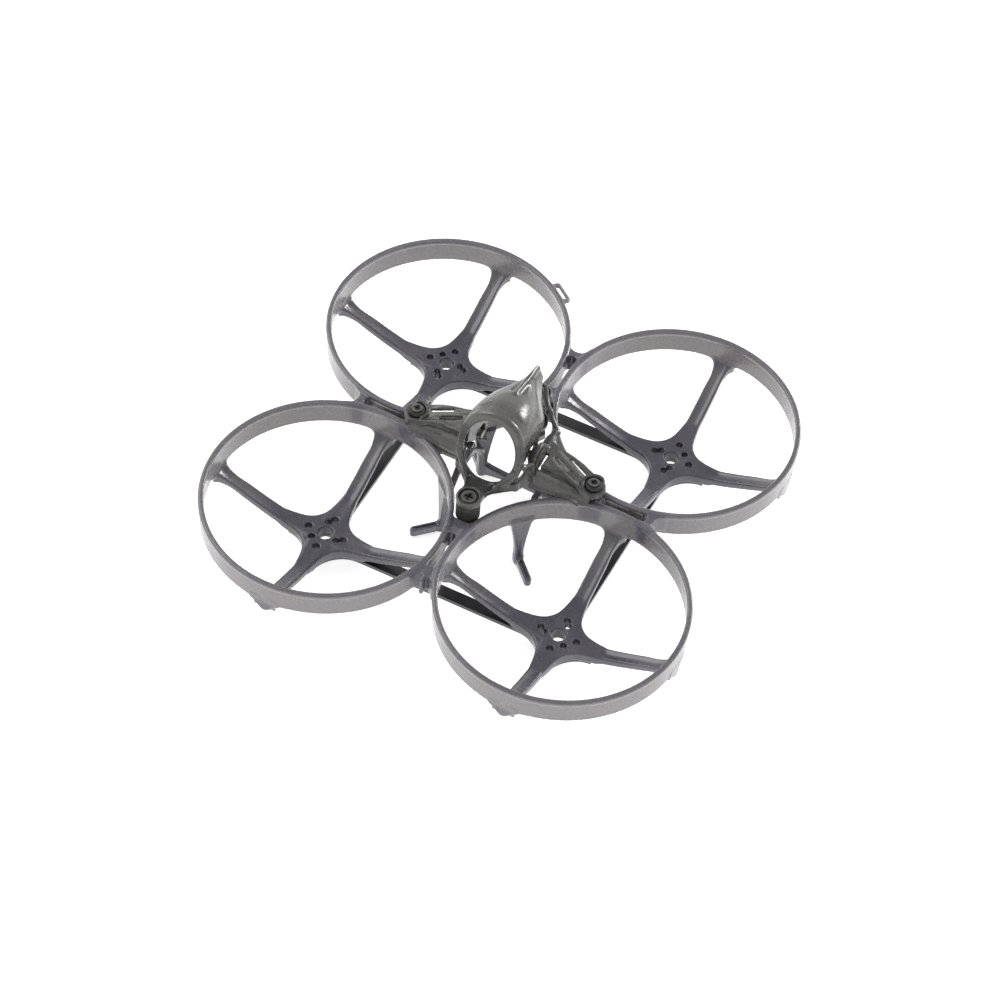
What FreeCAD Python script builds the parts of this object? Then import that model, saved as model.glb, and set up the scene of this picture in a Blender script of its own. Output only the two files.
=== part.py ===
"""Ducted FPV racing quadcopter airframe: moulded duct frame, carbon brace, canopy and soft mounts.

Millimetres.  +Z is up, -Y is the nose, +X is the craft's right-hand side.
The origin is the centre of the four motors, on the plane of the motor seats.
"""
import FreeCAD, Part
import math
import os

V = FreeCAD.Vector
UP = V(0, 0, 1)

# ---- driving dimensions -------------------------------------------------------------------
WHEELBASE = 85.0            # motor to motor, measured across the diagonal
HUB_OFFSET = WHEELBASE / (2 * math.sqrt(2))

# duct, around a 51 mm propeller
LIP_RADIUS = 29.2
LIP_TOP = 13.5
LIP_DEPTH = 1.3
LIP_WIDTH = 1.35
WALL_OUTER = 28.95
WALL_THICKNESS = 0.9
WALL_BOTTOM = 6.9
FOOT_DROP = 2.8             # how far the wall dips where a spoke meets it
FOOT_HALF_WIDTH = 4.2
FOOT_NOSE_HALF_WIDTH = 1.4

# motor seat
SEAT_THICKNESS = 2.5
SHAFT_HOLE_RADIUS = 1.8
MOTOR_PCD = 9.0
MOTOR_HOLE_RADIUS = 0.85
SMALL_MOTOR_PCD = 6.6
SMALL_MOTOR_HOLE_RADIUS = 0.78
SMALL_MOTOR_FIRST_ANGLE = 45
STAR_REACH = 11.0           # length of the flat part of each seat arm
STAR_ARM_HALF_WIDTH = 1.75
STAR_WAIST = 4.4            # pulls the hollow flanks in between two arms
STAR_BULGE = 1.1            # start of each flank curve, in half widths

# spokes, from seat to wall: distance from the motor axis, width, thickness, height of the middle
SPOKE_STATIONS = (
    (7.0, 4.6, 2.2, -1.25),
    (11.0, 3.6, 2.2, -0.8),
    (15.5, 3.3, 2.1, 0.6),
    (20.5, 3.3, 2.0, 2.6),
    (26.2, 3.4, 2.2, 4.9),
    (28.5, 6.0, 2.9, 5.6),
)

# bridges that join neighbouring ducts, measured outwards from the middle of the craft
BRIDGE_INNER = 20.6
BRIDGE_OUTER = 38.0
BRIDGE_TOP = 13.2
BRIDGE_BOTTOM = 8.2
BRIDGE_HALF_WIDTH = 4.2
BRIDGE_SLOT_START = 25.2    # the slot is the gap between the two rings, closed by a web at each end
BRIDGE_SLOT_END = 36.3
BRIDGE_SLOT_WIDTH = 3.0
WEB_HOLLOW_RADIUS = 2.8
FRONT_WEB_EXTRA = 1.0       # the front bridge's outer web is deeper, with a short rib in its hollow
FRONT_RIB_END = 40.6
FRONT_RIB_WIDTH = 0.9
FC_ARM_HALF_WIDTH = 1.5
FC_ARM_RISE = 2.4           # drop of the arm's upper corner below the top of the bridge

# loop on the rear left duct that holds the receiver wire
LOOP_ANGLE = 52.7
LOOP_REACH = 31.1
LOOP_LENGTH = 6.8
LOOP_BOTTOM = 11.9
LOOP_TOP = 12.9
LOOP_SLOT_START = 29.5
LOOP_SLOT_WIDTH = 0.9
LOOP_SLOT_LENGTH = 4.0

# flight controller eyelets, the 25.5 mm square pattern turned by 45 degrees
FC_SPACING = 25.5
FC_RADIUS = FC_SPACING / math.sqrt(2)
EYELET_TOP = 8.4
EYELET_BOTTOM = 7.0
EYELET_RADIUS = 2.5
EYELET_HOLE_RADIUS = 1.45

# rubber damper in each eyelet
DAMPER_RADIUS = 1.85
DAMPER_BOTTOM = 4.8
DAMPER_FLANGE_TOP = 9.0
DAMPER_NECK_RADIUS = 1.4
DAMPER_HOLE_RADIUS = 1.0

# battery cage: posts under the duct walls nearest the middle, with hooks for a band
POST_OFFSET = 9.8
POST_WIDTH = 2.2
POST_TOP_WIDTH = 4.6        # the post spreads where it meets the wall
POST_SPREAD_START = 0.5
POST_BOTTOM = -7.6
HOOK_LENGTH = 7.3
HOOK_WIDTH = 1.7
HOOK_TOP = -5.4
HOOK_GROOVE_WIDTH = 0.6
HOOK_GROOVE_DEPTH = 0.5
CAGE_WEB_THICKNESS = 1.6
CAGE_WEB_TOP = 8.3
CAGE_ARCH_TOP = 4.8
CAGE_SHOULDER = 1.0         # height where the side webs start to narrow
CAGE_CROWN_HALF = 3.0
STOP_TOP = -3.6
STOP_TOP_MIDDLE = -4.8
STOP_BOTTOM_MIDDLE = -6.2

# carbon brace plate under the seats
BRACE_THICKNESS = 1.0
BRACE_STRIP_WIDTH = 3.1
BRACE_PAD_REACH = 9.0
BRACE_PAD_WAIST = 5.2
BRACE_STRIP_SETBACK = 4.0   # strips start this far inside the pads

# canopy hood, drawn square to its mouth: distance behind the mouth, centre height, half width,
# half height; the whole hood then leans back with the mouth
HOOD_SKIN = 0.9
HOOD_LEAN = 18.4            # degrees
MOUTH_Y = -8.85
MOUTH_Z = 25.0
MOUTH_HALF_WIDTH = 6.4
MOUTH_HALF_HEIGHT = 8.3
HOOD_STATIONS = (
    (0.0, 0.0, 8.0, 8.95),
    (4.0, 0.4, 8.1, 10.0),
    (8.0, 0.5, 8.2, 10.6),
    (12.0, 0.7, 7.9, 10.4),
    (15.0, 1.8, 6.6, 9.6),
    (18.0, 4.6, 4.2, 7.4),
    (20.5, 7.6, 2.3, 5.0),
    (23.0, 12.2, 0.9, 1.2),
)
BELLY_TOP = 17.4            # the hood is open below this height, behind its mouth
BELLY_FRONT = -10.2
SIDE_OPENING_TOP = ((-7.6, 23.6), (-3.4, 19.6))     # lower edge of the side walls, y and z
REAR_OPENING = ((4.2, 17.0), (5.0, 23.0), (9.6, 25.0), (14.0, 26.4), (15.9, 29.2))

# chin plate and aprons between the mouth, the front boss and the wings
CHIN_HALF_WIDTH = 2.6
CHIN_BOTTOM = 16.6
CHIN_TOP = 17.8
APRON_FRONT = (2.4, -12.9, 15.7, 17.4)      # x, y, bottom, top
APRON_REAR = (9.0, -5.2, 15.0, 21.5)
APRON_THICKNESS = 1.0
APRON_HOLE_RADIUS = 1.0

# canopy rear strap and wings
STRAP_RADIUS = 0.75
STRAP_PATH = ((0.6, 14.3, 28.6), (1.3, 16.6, 25.4), (3.2, 14.4, 21.8), (5.4, 11.1, 21.0), (9.4, 7.6, 18.9))
WING_THICKNESS = 1.0
WING_STATIONS = (
    # x, crease y, rear y, top z, skirt bottom y, skirt bottom z
    (8.0, -2.9, 6.4, 19.3, -5.4, 14.9),
    (11.0, -2.4, 5.4, 18.8, -4.5, 13.5),
    (15.0, -1.5, 4.8, 18.1, -3.4, 12.8),
    (19.0, -1.6, 4.1, 17.3, -3.1, 13.9),
    (22.8, -2.3, 2.9, 16.7, -3.8, 14.1),
)
WING_TIP_X = 22.8
WING_TIP_TOP = 16.7
WING_TIP_RADIUS = 2.9
WING_TIP_BOSS = 1.6
SLIT_HALF_WIDTH = 0.4
SLIT_HALF_LENGTH = 2.35
SLIT_ANGLE = -20.0
SLIT_CENTRES = ((14.3, 1.6), (17.4, 2.2))

# canopy mounts
END_MOUNT_Y = FC_RADIUS
END_BOSS_RADIUS = 2.9
END_BOSS_TOP = 18.7
END_BOSS_BOTTOM = 17.0
END_BOSS_SEAT = 0.6         # lip that the grommet's groove clips over
END_GROMMET_RADIUS = 2.3
END_GROMMET_GROOVE = 0.5
END_GROMMET_BARREL = 2.8
END_GROMMET_BOTTOM = 11.5
END_GROMMET_ROUND = 1.1
HEAD_RECESS = 1.1           # the screw head bears this far below the boss top
TIP_GROMMET_RADIUS = 1.9
TIP_HOLE_RADIUS = 1.45
TIP_NECK_RADIUS = 1.25
TIP_FLANGE = 0.9
TIP_CROWN = 0.8
SCREW_CLEARANCE = 0.05

# screws and nuts
POST_SCREW_RADIUS = 0.95
POST_SCREW_HEAD_RADIUS = 1.7
TIP_SCREW_RADIUS = 0.7
TIP_SCREW_HEAD_RADIUS = 1.25
TIP_SCREW_HEAD_HEIGHT = 0.7
POST_SCREW_HEAD_HEIGHT = 0.9
RECESS_ARM = 0.62           # crosshead arm length, in head radii
RECESS_HALF_WIDTH = 0.17
RECESS_DEPTH = 0.45
NUT_ACROSS_FLATS = 4.0
NUT_HEIGHT = 1.6

# camera pivots in the hood's side walls
PIVOT_X = 8.6
PIVOT_Y = -0.6
PIVOT_Z = 19.2
LUG_RADIUS = 3.6
LUG_HALF_THICKNESS = 0.6
RAIL_BOTTOM = 17.2
RAIL_FRONT = -5.0
BUSH_RADIUS = 2.5
BUSH_BARREL_RADIUS = 2.0
BUSH_OUTER_FACE = 9.6
BUSH_INNER_FACE = 7.2
PIVOT_PIN_RADIUS = 1.1
PIVOT_RUNNING_CLEARANCE = 0.05
PIVOT_INNER_FACE = 7.0
PIVOT_OUTER_FACE = 9.9
CAMERA_PIN_RADIUS = 1.0     # plain end that enters the side of a 14 mm wide camera
CAMERA_PIN_END = 5.4
PIVOT_SLOT_WIDTH = 0.5
PIVOT_SLOT_DEPTH = 0.6

SIDES = range(4)            # the frame repeats every quarter turn
FRONT = 2                   # the quarter turn that faces the nose
SMALL = 0.02


# ---- helpers ------------------------------------------------------------------------------
def cylinder(radius, bottom, top, x=0.0, y=0.0):
    return Part.makeCylinder(radius, top - bottom, V(x, y, bottom))


def cylinder_along_x(radius, start, end, y, z):
    return Part.makeCylinder(radius, end - start, V(start, y, z), V(1, 0, 0))


def box(x0, x1, y0, y1, z0, z1):
    return Part.makeBox(x1 - x0, y1 - y0, z1 - z0, V(x0, y0, z0))


def turned(shape, quarter_turns):
    copy = shape.copy()
    copy.rotate(V(0, 0, 0), UP, 90 * quarter_turns)
    return copy


def moved(shape, x, y, z=0.0):
    copy = shape.copy()
    copy.translate(V(x, y, z))
    return copy


def mirrored_x(shape):
    return shape.mirror(V(0, 0, 0), V(1, 0, 0))


def polygon_prism(points, direction):
    """Extrude a closed outline given by its corner vectors."""
    return Part.Face(Part.makePolygon(points + [points[0]])).extrude(direction)


def ellipse_wire(centre, major, minor):
    """Ellipse given by its centre and by the vectors of its longer and shorter half axes."""
    return Part.Wire(Part.Ellipse(centre + major, centre + minor, centre).toShape())


def rounded_section(reach, width, thickness, height):
    """Rounded rectangle across the X direction."""
    w = width / 2
    h = thickness / 2
    r = 0.45 * min(w, h)
    corners = [V(reach, -w, height - h), V(reach, w, height - h), V(reach, w, height + h),
               V(reach, -w, height + h)]
    edges = []
    for k in SIDES:
        before, corner, after = corners[k - 1], corners[k], corners[(k + 1) % 4]
        start = corner + (before - corner).normalize() * r
        end = corner + (after - corner).normalize() * r
        middle = corner + ((before - corner).normalize() + (after - corner).normalize()) * r * 0.2929
        edges.append(Part.Arc(start, middle, end).toShape())
        edges.append(Part.makeLine(end, after + (corner - after).normalize() * r))
    return Part.Wire(edges)


def upright_ellipse(y, z, half_width, half_height):
    across = V(half_width, 0, 0)
    upward = V(0, 0, half_height)
    if half_height > half_width:
        return ellipse_wire(V(0, y, z), upward, across)
    return ellipse_wire(V(0, y, z), across, upward)


def fuse_all(shapes):
    return shapes[0].multiFuse(shapes[1:]).removeSplitter()


# ---- duct frame ---------------------------------------------------------------------------
def star_plate(reach, half_width, waist, bottom, top):
    """Four-armed plate whose flanks are hollow curves."""
    edges = []
    for k in SIDES:
        poles = [V(reach, half_width, bottom), V(waist, STAR_BULGE * half_width, bottom),
                 V(STAR_BULGE * half_width, waist, bottom), V(half_width, reach, bottom)]
        flank = Part.BezierCurve()
        flank.setPoles(poles)
        edges.append(turned(flank.toShape(), k))
        tip = Part.makeLine(V(half_width, reach, bottom), V(-half_width, reach, bottom))
        edges.append(turned(tip, k))
    return Part.Face(Part.Wire(edges)).extrude(V(0, 0, top - bottom))


def duct_ring():
    """Thin wall with a thicker rounded lip on top."""
    wall_inner = WALL_OUTER - WALL_THICKNESS
    lip_inner = LIP_RADIUS - LIP_WIDTH
    lip_shoulder = LIP_TOP - LIP_DEPTH
    round_off = 0.45
    corners = (
        (wall_inner, WALL_BOTTOM),
        (WALL_OUTER, WALL_BOTTOM),
        (WALL_OUTER, lip_shoulder - 0.4),
        (LIP_RADIUS, lip_shoulder),
        (LIP_RADIUS, LIP_TOP - round_off),
        (LIP_RADIUS - round_off, LIP_TOP),
        (lip_inner + round_off, LIP_TOP),
        (lip_inner, LIP_TOP - round_off),
        (lip_inner, lip_shoulder),
        (wall_inner, lip_shoulder - 0.4),
    )
    points = [V(r, 0, z) for r, z in corners]
    profile = Part.Face(Part.makePolygon(points + [points[0]]))
    return profile.revolve(V(0, 0, 0), UP, 360)


def spoke():
    """One arm along +X, rising from the seat to the bottom of the wall."""
    wires = []
    for reach, width, thickness, height in SPOKE_STATIONS:
        wires.append(rounded_section(reach, width, thickness, height))
    return Part.makeLoft(wires, True, False)


def wall_foot():
    """The pointed dip of the wall under the outer end of a spoke."""
    nose = FOOT_NOSE_HALF_WIDTH
    low = WALL_BOTTOM - FOOT_DROP
    outline = [V(0, -FOOT_HALF_WIDTH, WALL_BOTTOM + 0.5), V(0, -nose, low), V(0, nose, low),
               V(0, FOOT_HALF_WIDTH, WALL_BOTTOM + 0.5)]
    wedge = moved(polygon_prism(outline, V(4, 0, 0)), WALL_OUTER - 3, 0)
    band = cylinder(WALL_OUTER - 0.03, 0, LIP_TOP).cut(
        cylinder(WALL_OUTER - WALL_THICKNESS + 0.03, -1, LIP_TOP + 1))
    return wedge.common(band)


def motor_hole_tools():
    """Drills for the shaft clearance, the four-screw and the three-screw patterns."""
    low = -SEAT_THICKNESS - 2
    tools = [cylinder(SHAFT_HOLE_RADIUS, low, 3)]
    for k in SIDES:
        angle = math.radians(90 * k)
        tools.append(cylinder(MOTOR_HOLE_RADIUS, low, 3, MOTOR_PCD / 2 * math.cos(angle),
                              MOTOR_PCD / 2 * math.sin(angle)))
    for k in range(3):
        angle = math.radians(SMALL_MOTOR_FIRST_ANGLE + 120 * k)
        tools.append(cylinder(SMALL_MOTOR_HOLE_RADIUS, low, 3, SMALL_MOTOR_PCD / 2 * math.cos(angle),
                              SMALL_MOTOR_PCD / 2 * math.sin(angle)))
    return tools


def duct_module():
    """One duct with its spokes and seat, centred on the motor axis; +X and +Y point outwards."""
    pieces = [duct_ring(), star_plate(STAR_REACH, STAR_ARM_HALF_WIDTH, STAR_WAIST, -SEAT_THICKNESS, 0.0)]
    for k in SIDES:
        pieces.append(turned(spoke(), k))
        pieces.append(turned(wall_foot(), k))
    body = fuse_all(pieces)
    for tool in motor_hole_tools():
        body = body.cut(tool)
    return body


def bridge(extra):
    """Web between the two ducts on the +Y side, with its slot, FC arm and eyelet."""
    outer = BRIDGE_OUTER + extra
    web = box(-BRIDGE_HALF_WIDTH, BRIDGE_HALF_WIDTH, BRIDGE_INNER, outer + 2, BRIDGE_BOTTOM, BRIDGE_TOP)
    for side in (-1, 1):
        web = web.cut(cylinder(WALL_OUTER - WALL_THICKNESS / 2, 0, LIP_TOP + 1,
                               side * HUB_OFFSET, HUB_OFFSET))
    web = web.cut(cylinder(WEB_HOLLOW_RADIUS, 0, LIP_TOP + 1, 0, outer + WEB_HOLLOW_RADIUS))
    half = BRIDGE_SLOT_WIDTH / 2
    slot_end = BRIDGE_SLOT_END + extra
    slot = fuse_all([
        box(-half, half, BRIDGE_SLOT_START + half, slot_end - half, 0, 20),
        cylinder(half, 0, 20, 0, BRIDGE_SLOT_START + half),
        cylinder(half, 0, 20, 0, slot_end - half),
    ])
    root = BRIDGE_INNER + 2.5
    x = -FC_ARM_HALF_WIDTH
    arm_outline = [V(x, root, BRIDGE_TOP - 0.6), V(x, BRIDGE_INNER + 0.4, BRIDGE_TOP - FC_ARM_RISE),
                   V(x, FC_RADIUS, EYELET_TOP), V(x, FC_RADIUS, EYELET_BOTTOM), V(x, root, BRIDGE_BOTTOM)]
    arm = polygon_prism(arm_outline, V(2 * FC_ARM_HALF_WIDTH, 0, 0))
    eyelet = cylinder(EYELET_RADIUS, EYELET_BOTTOM, EYELET_TOP, 0, FC_RADIUS)
    body = fuse_all([web.cut(slot), arm, eyelet])
    body = body.cut(cylinder(DAMPER_RADIUS + 0.15, EYELET_TOP, LIP_TOP, 0, FC_RADIUS))
    body = body.cut(cylinder(END_GROMMET_BARREL + 0.15, END_GROMMET_BOTTOM - 0.1, LIP_TOP, 0, FC_RADIUS))
    return body.cut(cylinder(EYELET_HOLE_RADIUS, 0, LIP_TOP, 0, FC_RADIUS))


def hook():
    """Grooved bar that leaves the foot of a post diagonally, along +X of its own frame."""
    half = HOOK_WIDTH / 2
    bar = box(0, HOOK_LENGTH, -half, half, POST_BOTTOM, HOOK_TOP)
    tip = cylinder(half, POST_BOTTOM, HOOK_TOP, HOOK_LENGTH, 0)
    groove = box(1.8, HOOK_LENGTH - 0.4, -HOOK_GROOVE_WIDTH / 2, HOOK_GROOVE_WIDTH / 2,
                 HOOK_TOP - HOOK_GROOVE_DEPTH, HOOK_TOP + 1)
    return fuse_all([bar, tip]).cut(groove)


def battery_post():
    """Post and hook of the +X +Y corner."""
    half = POST_WIDTH / 2
    spread = POST_TOP_WIDTH / 2
    top = WALL_BOTTOM + 1.2
    outline = [V(-half, -half, POST_BOTTOM), V(-half, half, POST_BOTTOM), V(-half, half, POST_SPREAD_START),
               V(-half, spread, top), V(-half, -spread, top), V(-half, -half, POST_SPREAD_START)]
    post = polygon_prism(outline, V(POST_WIDTH, 0, 0))
    corner = fuse_all([post, hook()])
    corner.rotate(V(0, 0, 0), UP, 45)
    return moved(corner, POST_OFFSET, POST_OFFSET)


def cage_side():
    """Arched web between the front and rear posts on the +X side, tied to the side eyelet."""
    x = POST_OFFSET - CAGE_WEB_THICKNESS / 2
    reach = POST_OFFSET + 0.4
    top_left = V(x, -CAGE_CROWN_HALF, CAGE_WEB_TOP)
    shoulder = V(x, -reach, CAGE_SHOULDER)
    foot = V(x, -reach, HOOK_TOP)
    heel = V(x, -reach + 1.6, POST_BOTTOM + 0.8)
    outline = [
        Part.makeLine(V(x, CAGE_CROWN_HALF, CAGE_WEB_TOP), top_left),
        Part.makeLine(top_left, shoulder),
        Part.makeLine(shoulder, foot),
        Part.makeLine(foot, heel),
        Part.Arc(heel, V(x, 0, CAGE_ARCH_TOP), V(x, -heel.y, heel.z)).toShape(),
        Part.makeLine(V(x, -heel.y, heel.z), V(x, reach, HOOK_TOP)),
        Part.makeLine(V(x, reach, HOOK_TOP), V(x, reach, CAGE_SHOULDER)),
        Part.makeLine(V(x, reach, CAGE_SHOULDER), V(x, CAGE_CROWN_HALF, CAGE_WEB_TOP)),
    ]
    web = Part.Face(Part.Wire(outline)).extrude(V(CAGE_WEB_THICKNESS, 0, 0))
    tie = box(x + 0.2, FC_RADIUS - 1.8, -1.2, 1.2, EYELET_BOTTOM, CAGE_WEB_TOP)
    return fuse_all([web, tie])


def cage_stop():
    """Cross bar between the two rear posts that stops the battery."""
    y = POST_OFFSET - CAGE_WEB_THICKNESS / 2
    reach = POST_OFFSET
    low = V(-reach, y, POST_BOTTOM)
    outline = [
        Part.makeLine(V(-reach, y, STOP_TOP), low),
        Part.Arc(low, V(0, y, STOP_BOTTOM_MIDDLE), V(reach, y, POST_BOTTOM)).toShape(),
        Part.makeLine(V(reach, y, POST_BOTTOM), V(reach, y, STOP_TOP)),
        Part.Arc(V(reach, y, STOP_TOP), V(0, y, STOP_TOP_MIDDLE), V(-reach, y, STOP_TOP)).toShape(),
    ]
    return Part.Face(Part.Wire(outline)).extrude(V(0, CAGE_WEB_THICKNESS, 0))


def wire_loop():
    """Small flat loop on the outside of the rear left duct, drawn along +X and turned into place."""
    half = LOOP_LENGTH / 2
    root = WALL_OUTER - WALL_THICKNESS / 2
    outline = [V(root, -half, LOOP_BOTTOM), V(LOOP_REACH - 0.8, -half + 0.2, LOOP_BOTTOM),
               V(LOOP_REACH, -half + 1.0, LOOP_BOTTOM), V(LOOP_REACH, half - 1.0, LOOP_BOTTOM),
               V(LOOP_REACH - 0.8, half - 0.2, LOOP_BOTTOM), V(root, half, LOOP_BOTTOM)]
    loop = polygon_prism(outline, V(0, 0, LOOP_TOP - LOOP_BOTTOM))
    loop = loop.cut(box(LOOP_SLOT_START, LOOP_SLOT_START + LOOP_SLOT_WIDTH, -LOOP_SLOT_LENGTH / 2,
                        LOOP_SLOT_LENGTH / 2, 0, LIP_TOP))
    loop.rotate(V(0, 0, 0), UP, LOOP_ANGLE)
    return moved(loop, -HUB_OFFSET, HUB_OFFSET)


def front_rib():
    return box(-FRONT_RIB_WIDTH / 2, FRONT_RIB_WIDTH / 2, -FRONT_RIB_END, -BRIDGE_OUTER + 1.0,
               BRIDGE_BOTTOM, BRIDGE_TOP)


def duct_frame():
    pieces = []
    module = moved(duct_module(), HUB_OFFSET, HUB_OFFSET)
    for k in SIDES:
        pieces.append(turned(module, k))
        pieces.append(turned(bridge(FRONT_WEB_EXTRA if k == FRONT else 0.0), k))
        pieces.append(turned(battery_post(), k))
    pieces.append(cage_side())
    pieces.append(mirrored_x(cage_side()))
    pieces.append(cage_stop())
    pieces.append(wire_loop())
    pieces.append(front_rib())
    body = fuse_all(pieces)
    for side in (-1, 1):
        body = body.cut(cylinder(TIP_SCREW_RADIUS + SMALL, BRIDGE_BOTTOM - 1, LIP_TOP + 1,
                                 side * WING_TIP_X, 0))
    return body


# ---- carbon brace -------------------------------------------------------------------------
def carbon_brace():
    """Flat ring of four strips with a star pad under each motor seat."""
    top = -SEAT_THICKNESS
    bottom = top - BRACE_THICKNESS
    pieces = []
    half = BRACE_STRIP_WIDTH / 2
    for k in SIDES:
        pad = star_plate(BRACE_PAD_REACH, half, BRACE_PAD_WAIST, bottom, top)
        pieces.append(turned(moved(pad, HUB_OFFSET, HUB_OFFSET), k))
        reach = HUB_OFFSET - BRACE_STRIP_SETBACK
        strip = box(-reach, reach, HUB_OFFSET - half, HUB_OFFSET + half, bottom, top)
        pieces.append(turned(strip, k))
    body = fuse_all(pieces)
    for k in SIDES:
        for tool in motor_hole_tools():
            body = body.cut(turned(moved(tool, HUB_OFFSET, HUB_OFFSET), k))
    return body


# ---- canopy -------------------------------------------------------------------------------
def leaned(shape):
    """From the hood's own upright frame to its place on the craft."""
    copy = shape.copy()
    copy.rotate(V(0, 0, 0), V(1, 0, 0), -HOOD_LEAN)
    copy.translate(V(0, MOUTH_Y, MOUTH_Z))
    return copy


def hood_loft(stations, inset, first_shift):
    wires = []
    shift = first_shift
    for y, z, half_width, half_height in stations:
        wires.append(upright_ellipse(y + shift, z, half_width - inset, half_height - inset))
        shift = 0.0
    return Part.makeLoft(wires, True, True)


def mouth_prism(half_width, half_height, start, end):
    outline = upright_ellipse(start, 0, half_width, half_height)
    return Part.Face(outline).extrude(V(0, end - start, 0))


def hood():
    """Thin pointed hood: an oval mouth with a flat rim that closes to a crest at the rear top."""
    shell = hood_loft(HOOD_STATIONS, 0.0, 0.0)
    shell = shell.cut(hood_loft(HOOD_STATIONS[:-1], HOOD_SKIN, HOOD_SKIN))
    shell = leaned(shell.cut(mouth_prism(MOUTH_HALF_WIDTH, MOUTH_HALF_HEIGHT, -1, HOOD_SKIN + 1)))
    far = 40.0
    belly = box(-far, far, BELLY_FRONT, far, 0, BELLY_TOP)
    edge = [V(-far, y, z) for y, z in REAR_OPENING]
    rear = polygon_prism([V(-far, edge[0].y, 0)] + edge + [V(-far, far, edge[-1].z), V(-far, far, 0)],
                         V(2 * far, 0, 0))
    (front_y, front_z), (back_y, back_z) = SIDE_OPENING_TOP
    rim_back = HOOD_SKIN / math.cos(math.radians(HOOD_LEAN)) + 0.2
    slope = math.tan(math.radians(HOOD_LEAN))
    rim_y = MOUTH_Y + rim_back + (front_z - MOUTH_Z) * slope
    rim_low_y = MOUTH_Y + rim_back + (BELLY_TOP - 2 - MOUTH_Z) * slope
    side = polygon_prism([V(-far, rim_low_y, BELLY_TOP - 2), V(-far, max(rim_y, front_y), front_z),
                          V(-far, back_y, back_z), V(-far, back_y, BELLY_TOP - 2)], V(2 * far, 0, 0))
    return shell.cut(belly).cut(side).cut(rear)


def chin():
    """Plate from the lower edge of the mouth to the front boss."""
    return box(-CHIN_HALF_WIDTH, CHIN_HALF_WIDTH, -END_MOUNT_Y + 1.5, -10.9, CHIN_BOTTOM, CHIN_TOP)


def apron():
    """Right lower wall of the hood, from the chin back to the wing, with its window."""
    front = V(APRON_FRONT[0], APRON_FRONT[1], 0)
    rear = V(APRON_REAR[0], APRON_REAR[1], 0)
    across = (rear - front).cross(UP).normalize() * (APRON_THICKNESS / 2)
    outline = [front + V(0, 0, APRON_FRONT[2]), rear + V(0, 0, APRON_REAR[2]),
               rear + V(0, 0, APRON_REAR[3]), front + V(0, 0, APRON_FRONT[3])]
    sheet = polygon_prism([p - across for p in outline], across * 2)
    middle = (front + rear) * 0.5
    middle.z = (APRON_FRONT[3] + APRON_REAR[2] + 1.0) / 2
    start = middle - across * 4
    return sheet.cut(Part.makeCylinder(APRON_HOLE_RADIUS * 0.8, APRON_THICKNESS * 4, start, across * 1.0))


def rear_strap():
    """Thin rod from the crest down to the rear corner of each wing."""
    pieces = []
    for side in (-1, 1):
        points = [V(side * x, y, z) for x, y, z in STRAP_PATH]
        curve = Part.BSplineCurve()
        curve.interpolate(points)
        path = Part.Wire(curve.toShape())
        tangent = curve.tangent(0.0)[0]
        profile = Part.Wire(Part.makeCircle(STRAP_RADIUS, points[0], tangent))
        pieces.append(path.makePipeShell([profile], True, False))
        pieces.append(Part.makeSphere(STRAP_RADIUS, points[-1]))
    return pieces


def closed_wire(points):
    return Part.makePolygon(points + [points[0]])


def wing():
    """Right wing: a drooping top plate with two slits, a front skirt and a boss at the tip."""
    plate_wires = []
    skirt_wires = []
    for x, crease, rear, top, skirt_y, skirt_z in WING_STATIONS:
        low = top - WING_THICKNESS
        plate_wires.append(closed_wire([V(x, crease, low), V(x, rear, low), V(x, rear, top),
                                        V(x, crease, top)]))
        skirt_wires.append(closed_wire([V(x, skirt_y, skirt_z), V(x, skirt_y + WING_THICKNESS, skirt_z),
                                        V(x, crease + WING_THICKNESS, top), V(x, crease, top)]))
    boss = cylinder(WING_TIP_RADIUS, WING_TIP_TOP - WING_TIP_BOSS, WING_TIP_TOP, WING_TIP_X, 0)
    body = fuse_all([Part.makeLoft(plate_wires, True, True), Part.makeLoft(skirt_wires, True, True), boss])
    for x, y in SLIT_CENTRES:
        slit = box(-SLIT_HALF_LENGTH, SLIT_HALF_LENGTH, -SLIT_HALF_WIDTH, SLIT_HALF_WIDTH, 0, 30)
        slit.rotate(V(0, 0, 0), UP, SLIT_ANGLE)
        body = body.cut(moved(slit, x, y))
    return body


def end_boss(side):
    """Boss over the front (side -1) or rear (side +1) eyelet."""
    return cylinder(END_BOSS_RADIUS, END_BOSS_BOTTOM, END_BOSS_TOP, 0, side * END_MOUNT_Y)


def rear_arm(side):
    """Arm that carries the rear boss from one leg of the strap."""
    wires = []
    for x, y, low, high in ((0.6, END_MOUNT_Y - 1.2, END_BOSS_BOTTOM, END_BOSS_TOP - 0.4),
                            (5.3, 11.4, 19.4, 21.6)):
        centre = side * x
        wires.append(closed_wire([V(centre - 0.9, y, low), V(centre + 0.9, y, low),
                                  V(centre + 0.9, y, high), V(centre - 0.9, y, high)]))
    return Part.makeLoft(wires, True, True)


def pivot_wall():
    """Lug around the right camera bush and the rail under it that carries the wing."""
    inner = PIVOT_X - LUG_HALF_THICKNESS
    outer = PIVOT_X + LUG_HALF_THICKNESS
    lug = cylinder_along_x(LUG_RADIUS, inner, outer, PIVOT_Y, PIVOT_Z)
    rail = box(inner, outer, RAIL_FRONT, WING_STATIONS[0][2], RAIL_BOTTOM, WING_STATIONS[0][3])
    web = box(PIVOT_X - 2.2, outer, RAIL_FRONT, WING_STATIONS[0][2] - 2.2, RAIL_BOTTOM, RAIL_BOTTOM + 1.0)
    return [lug, rail, web]


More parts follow.
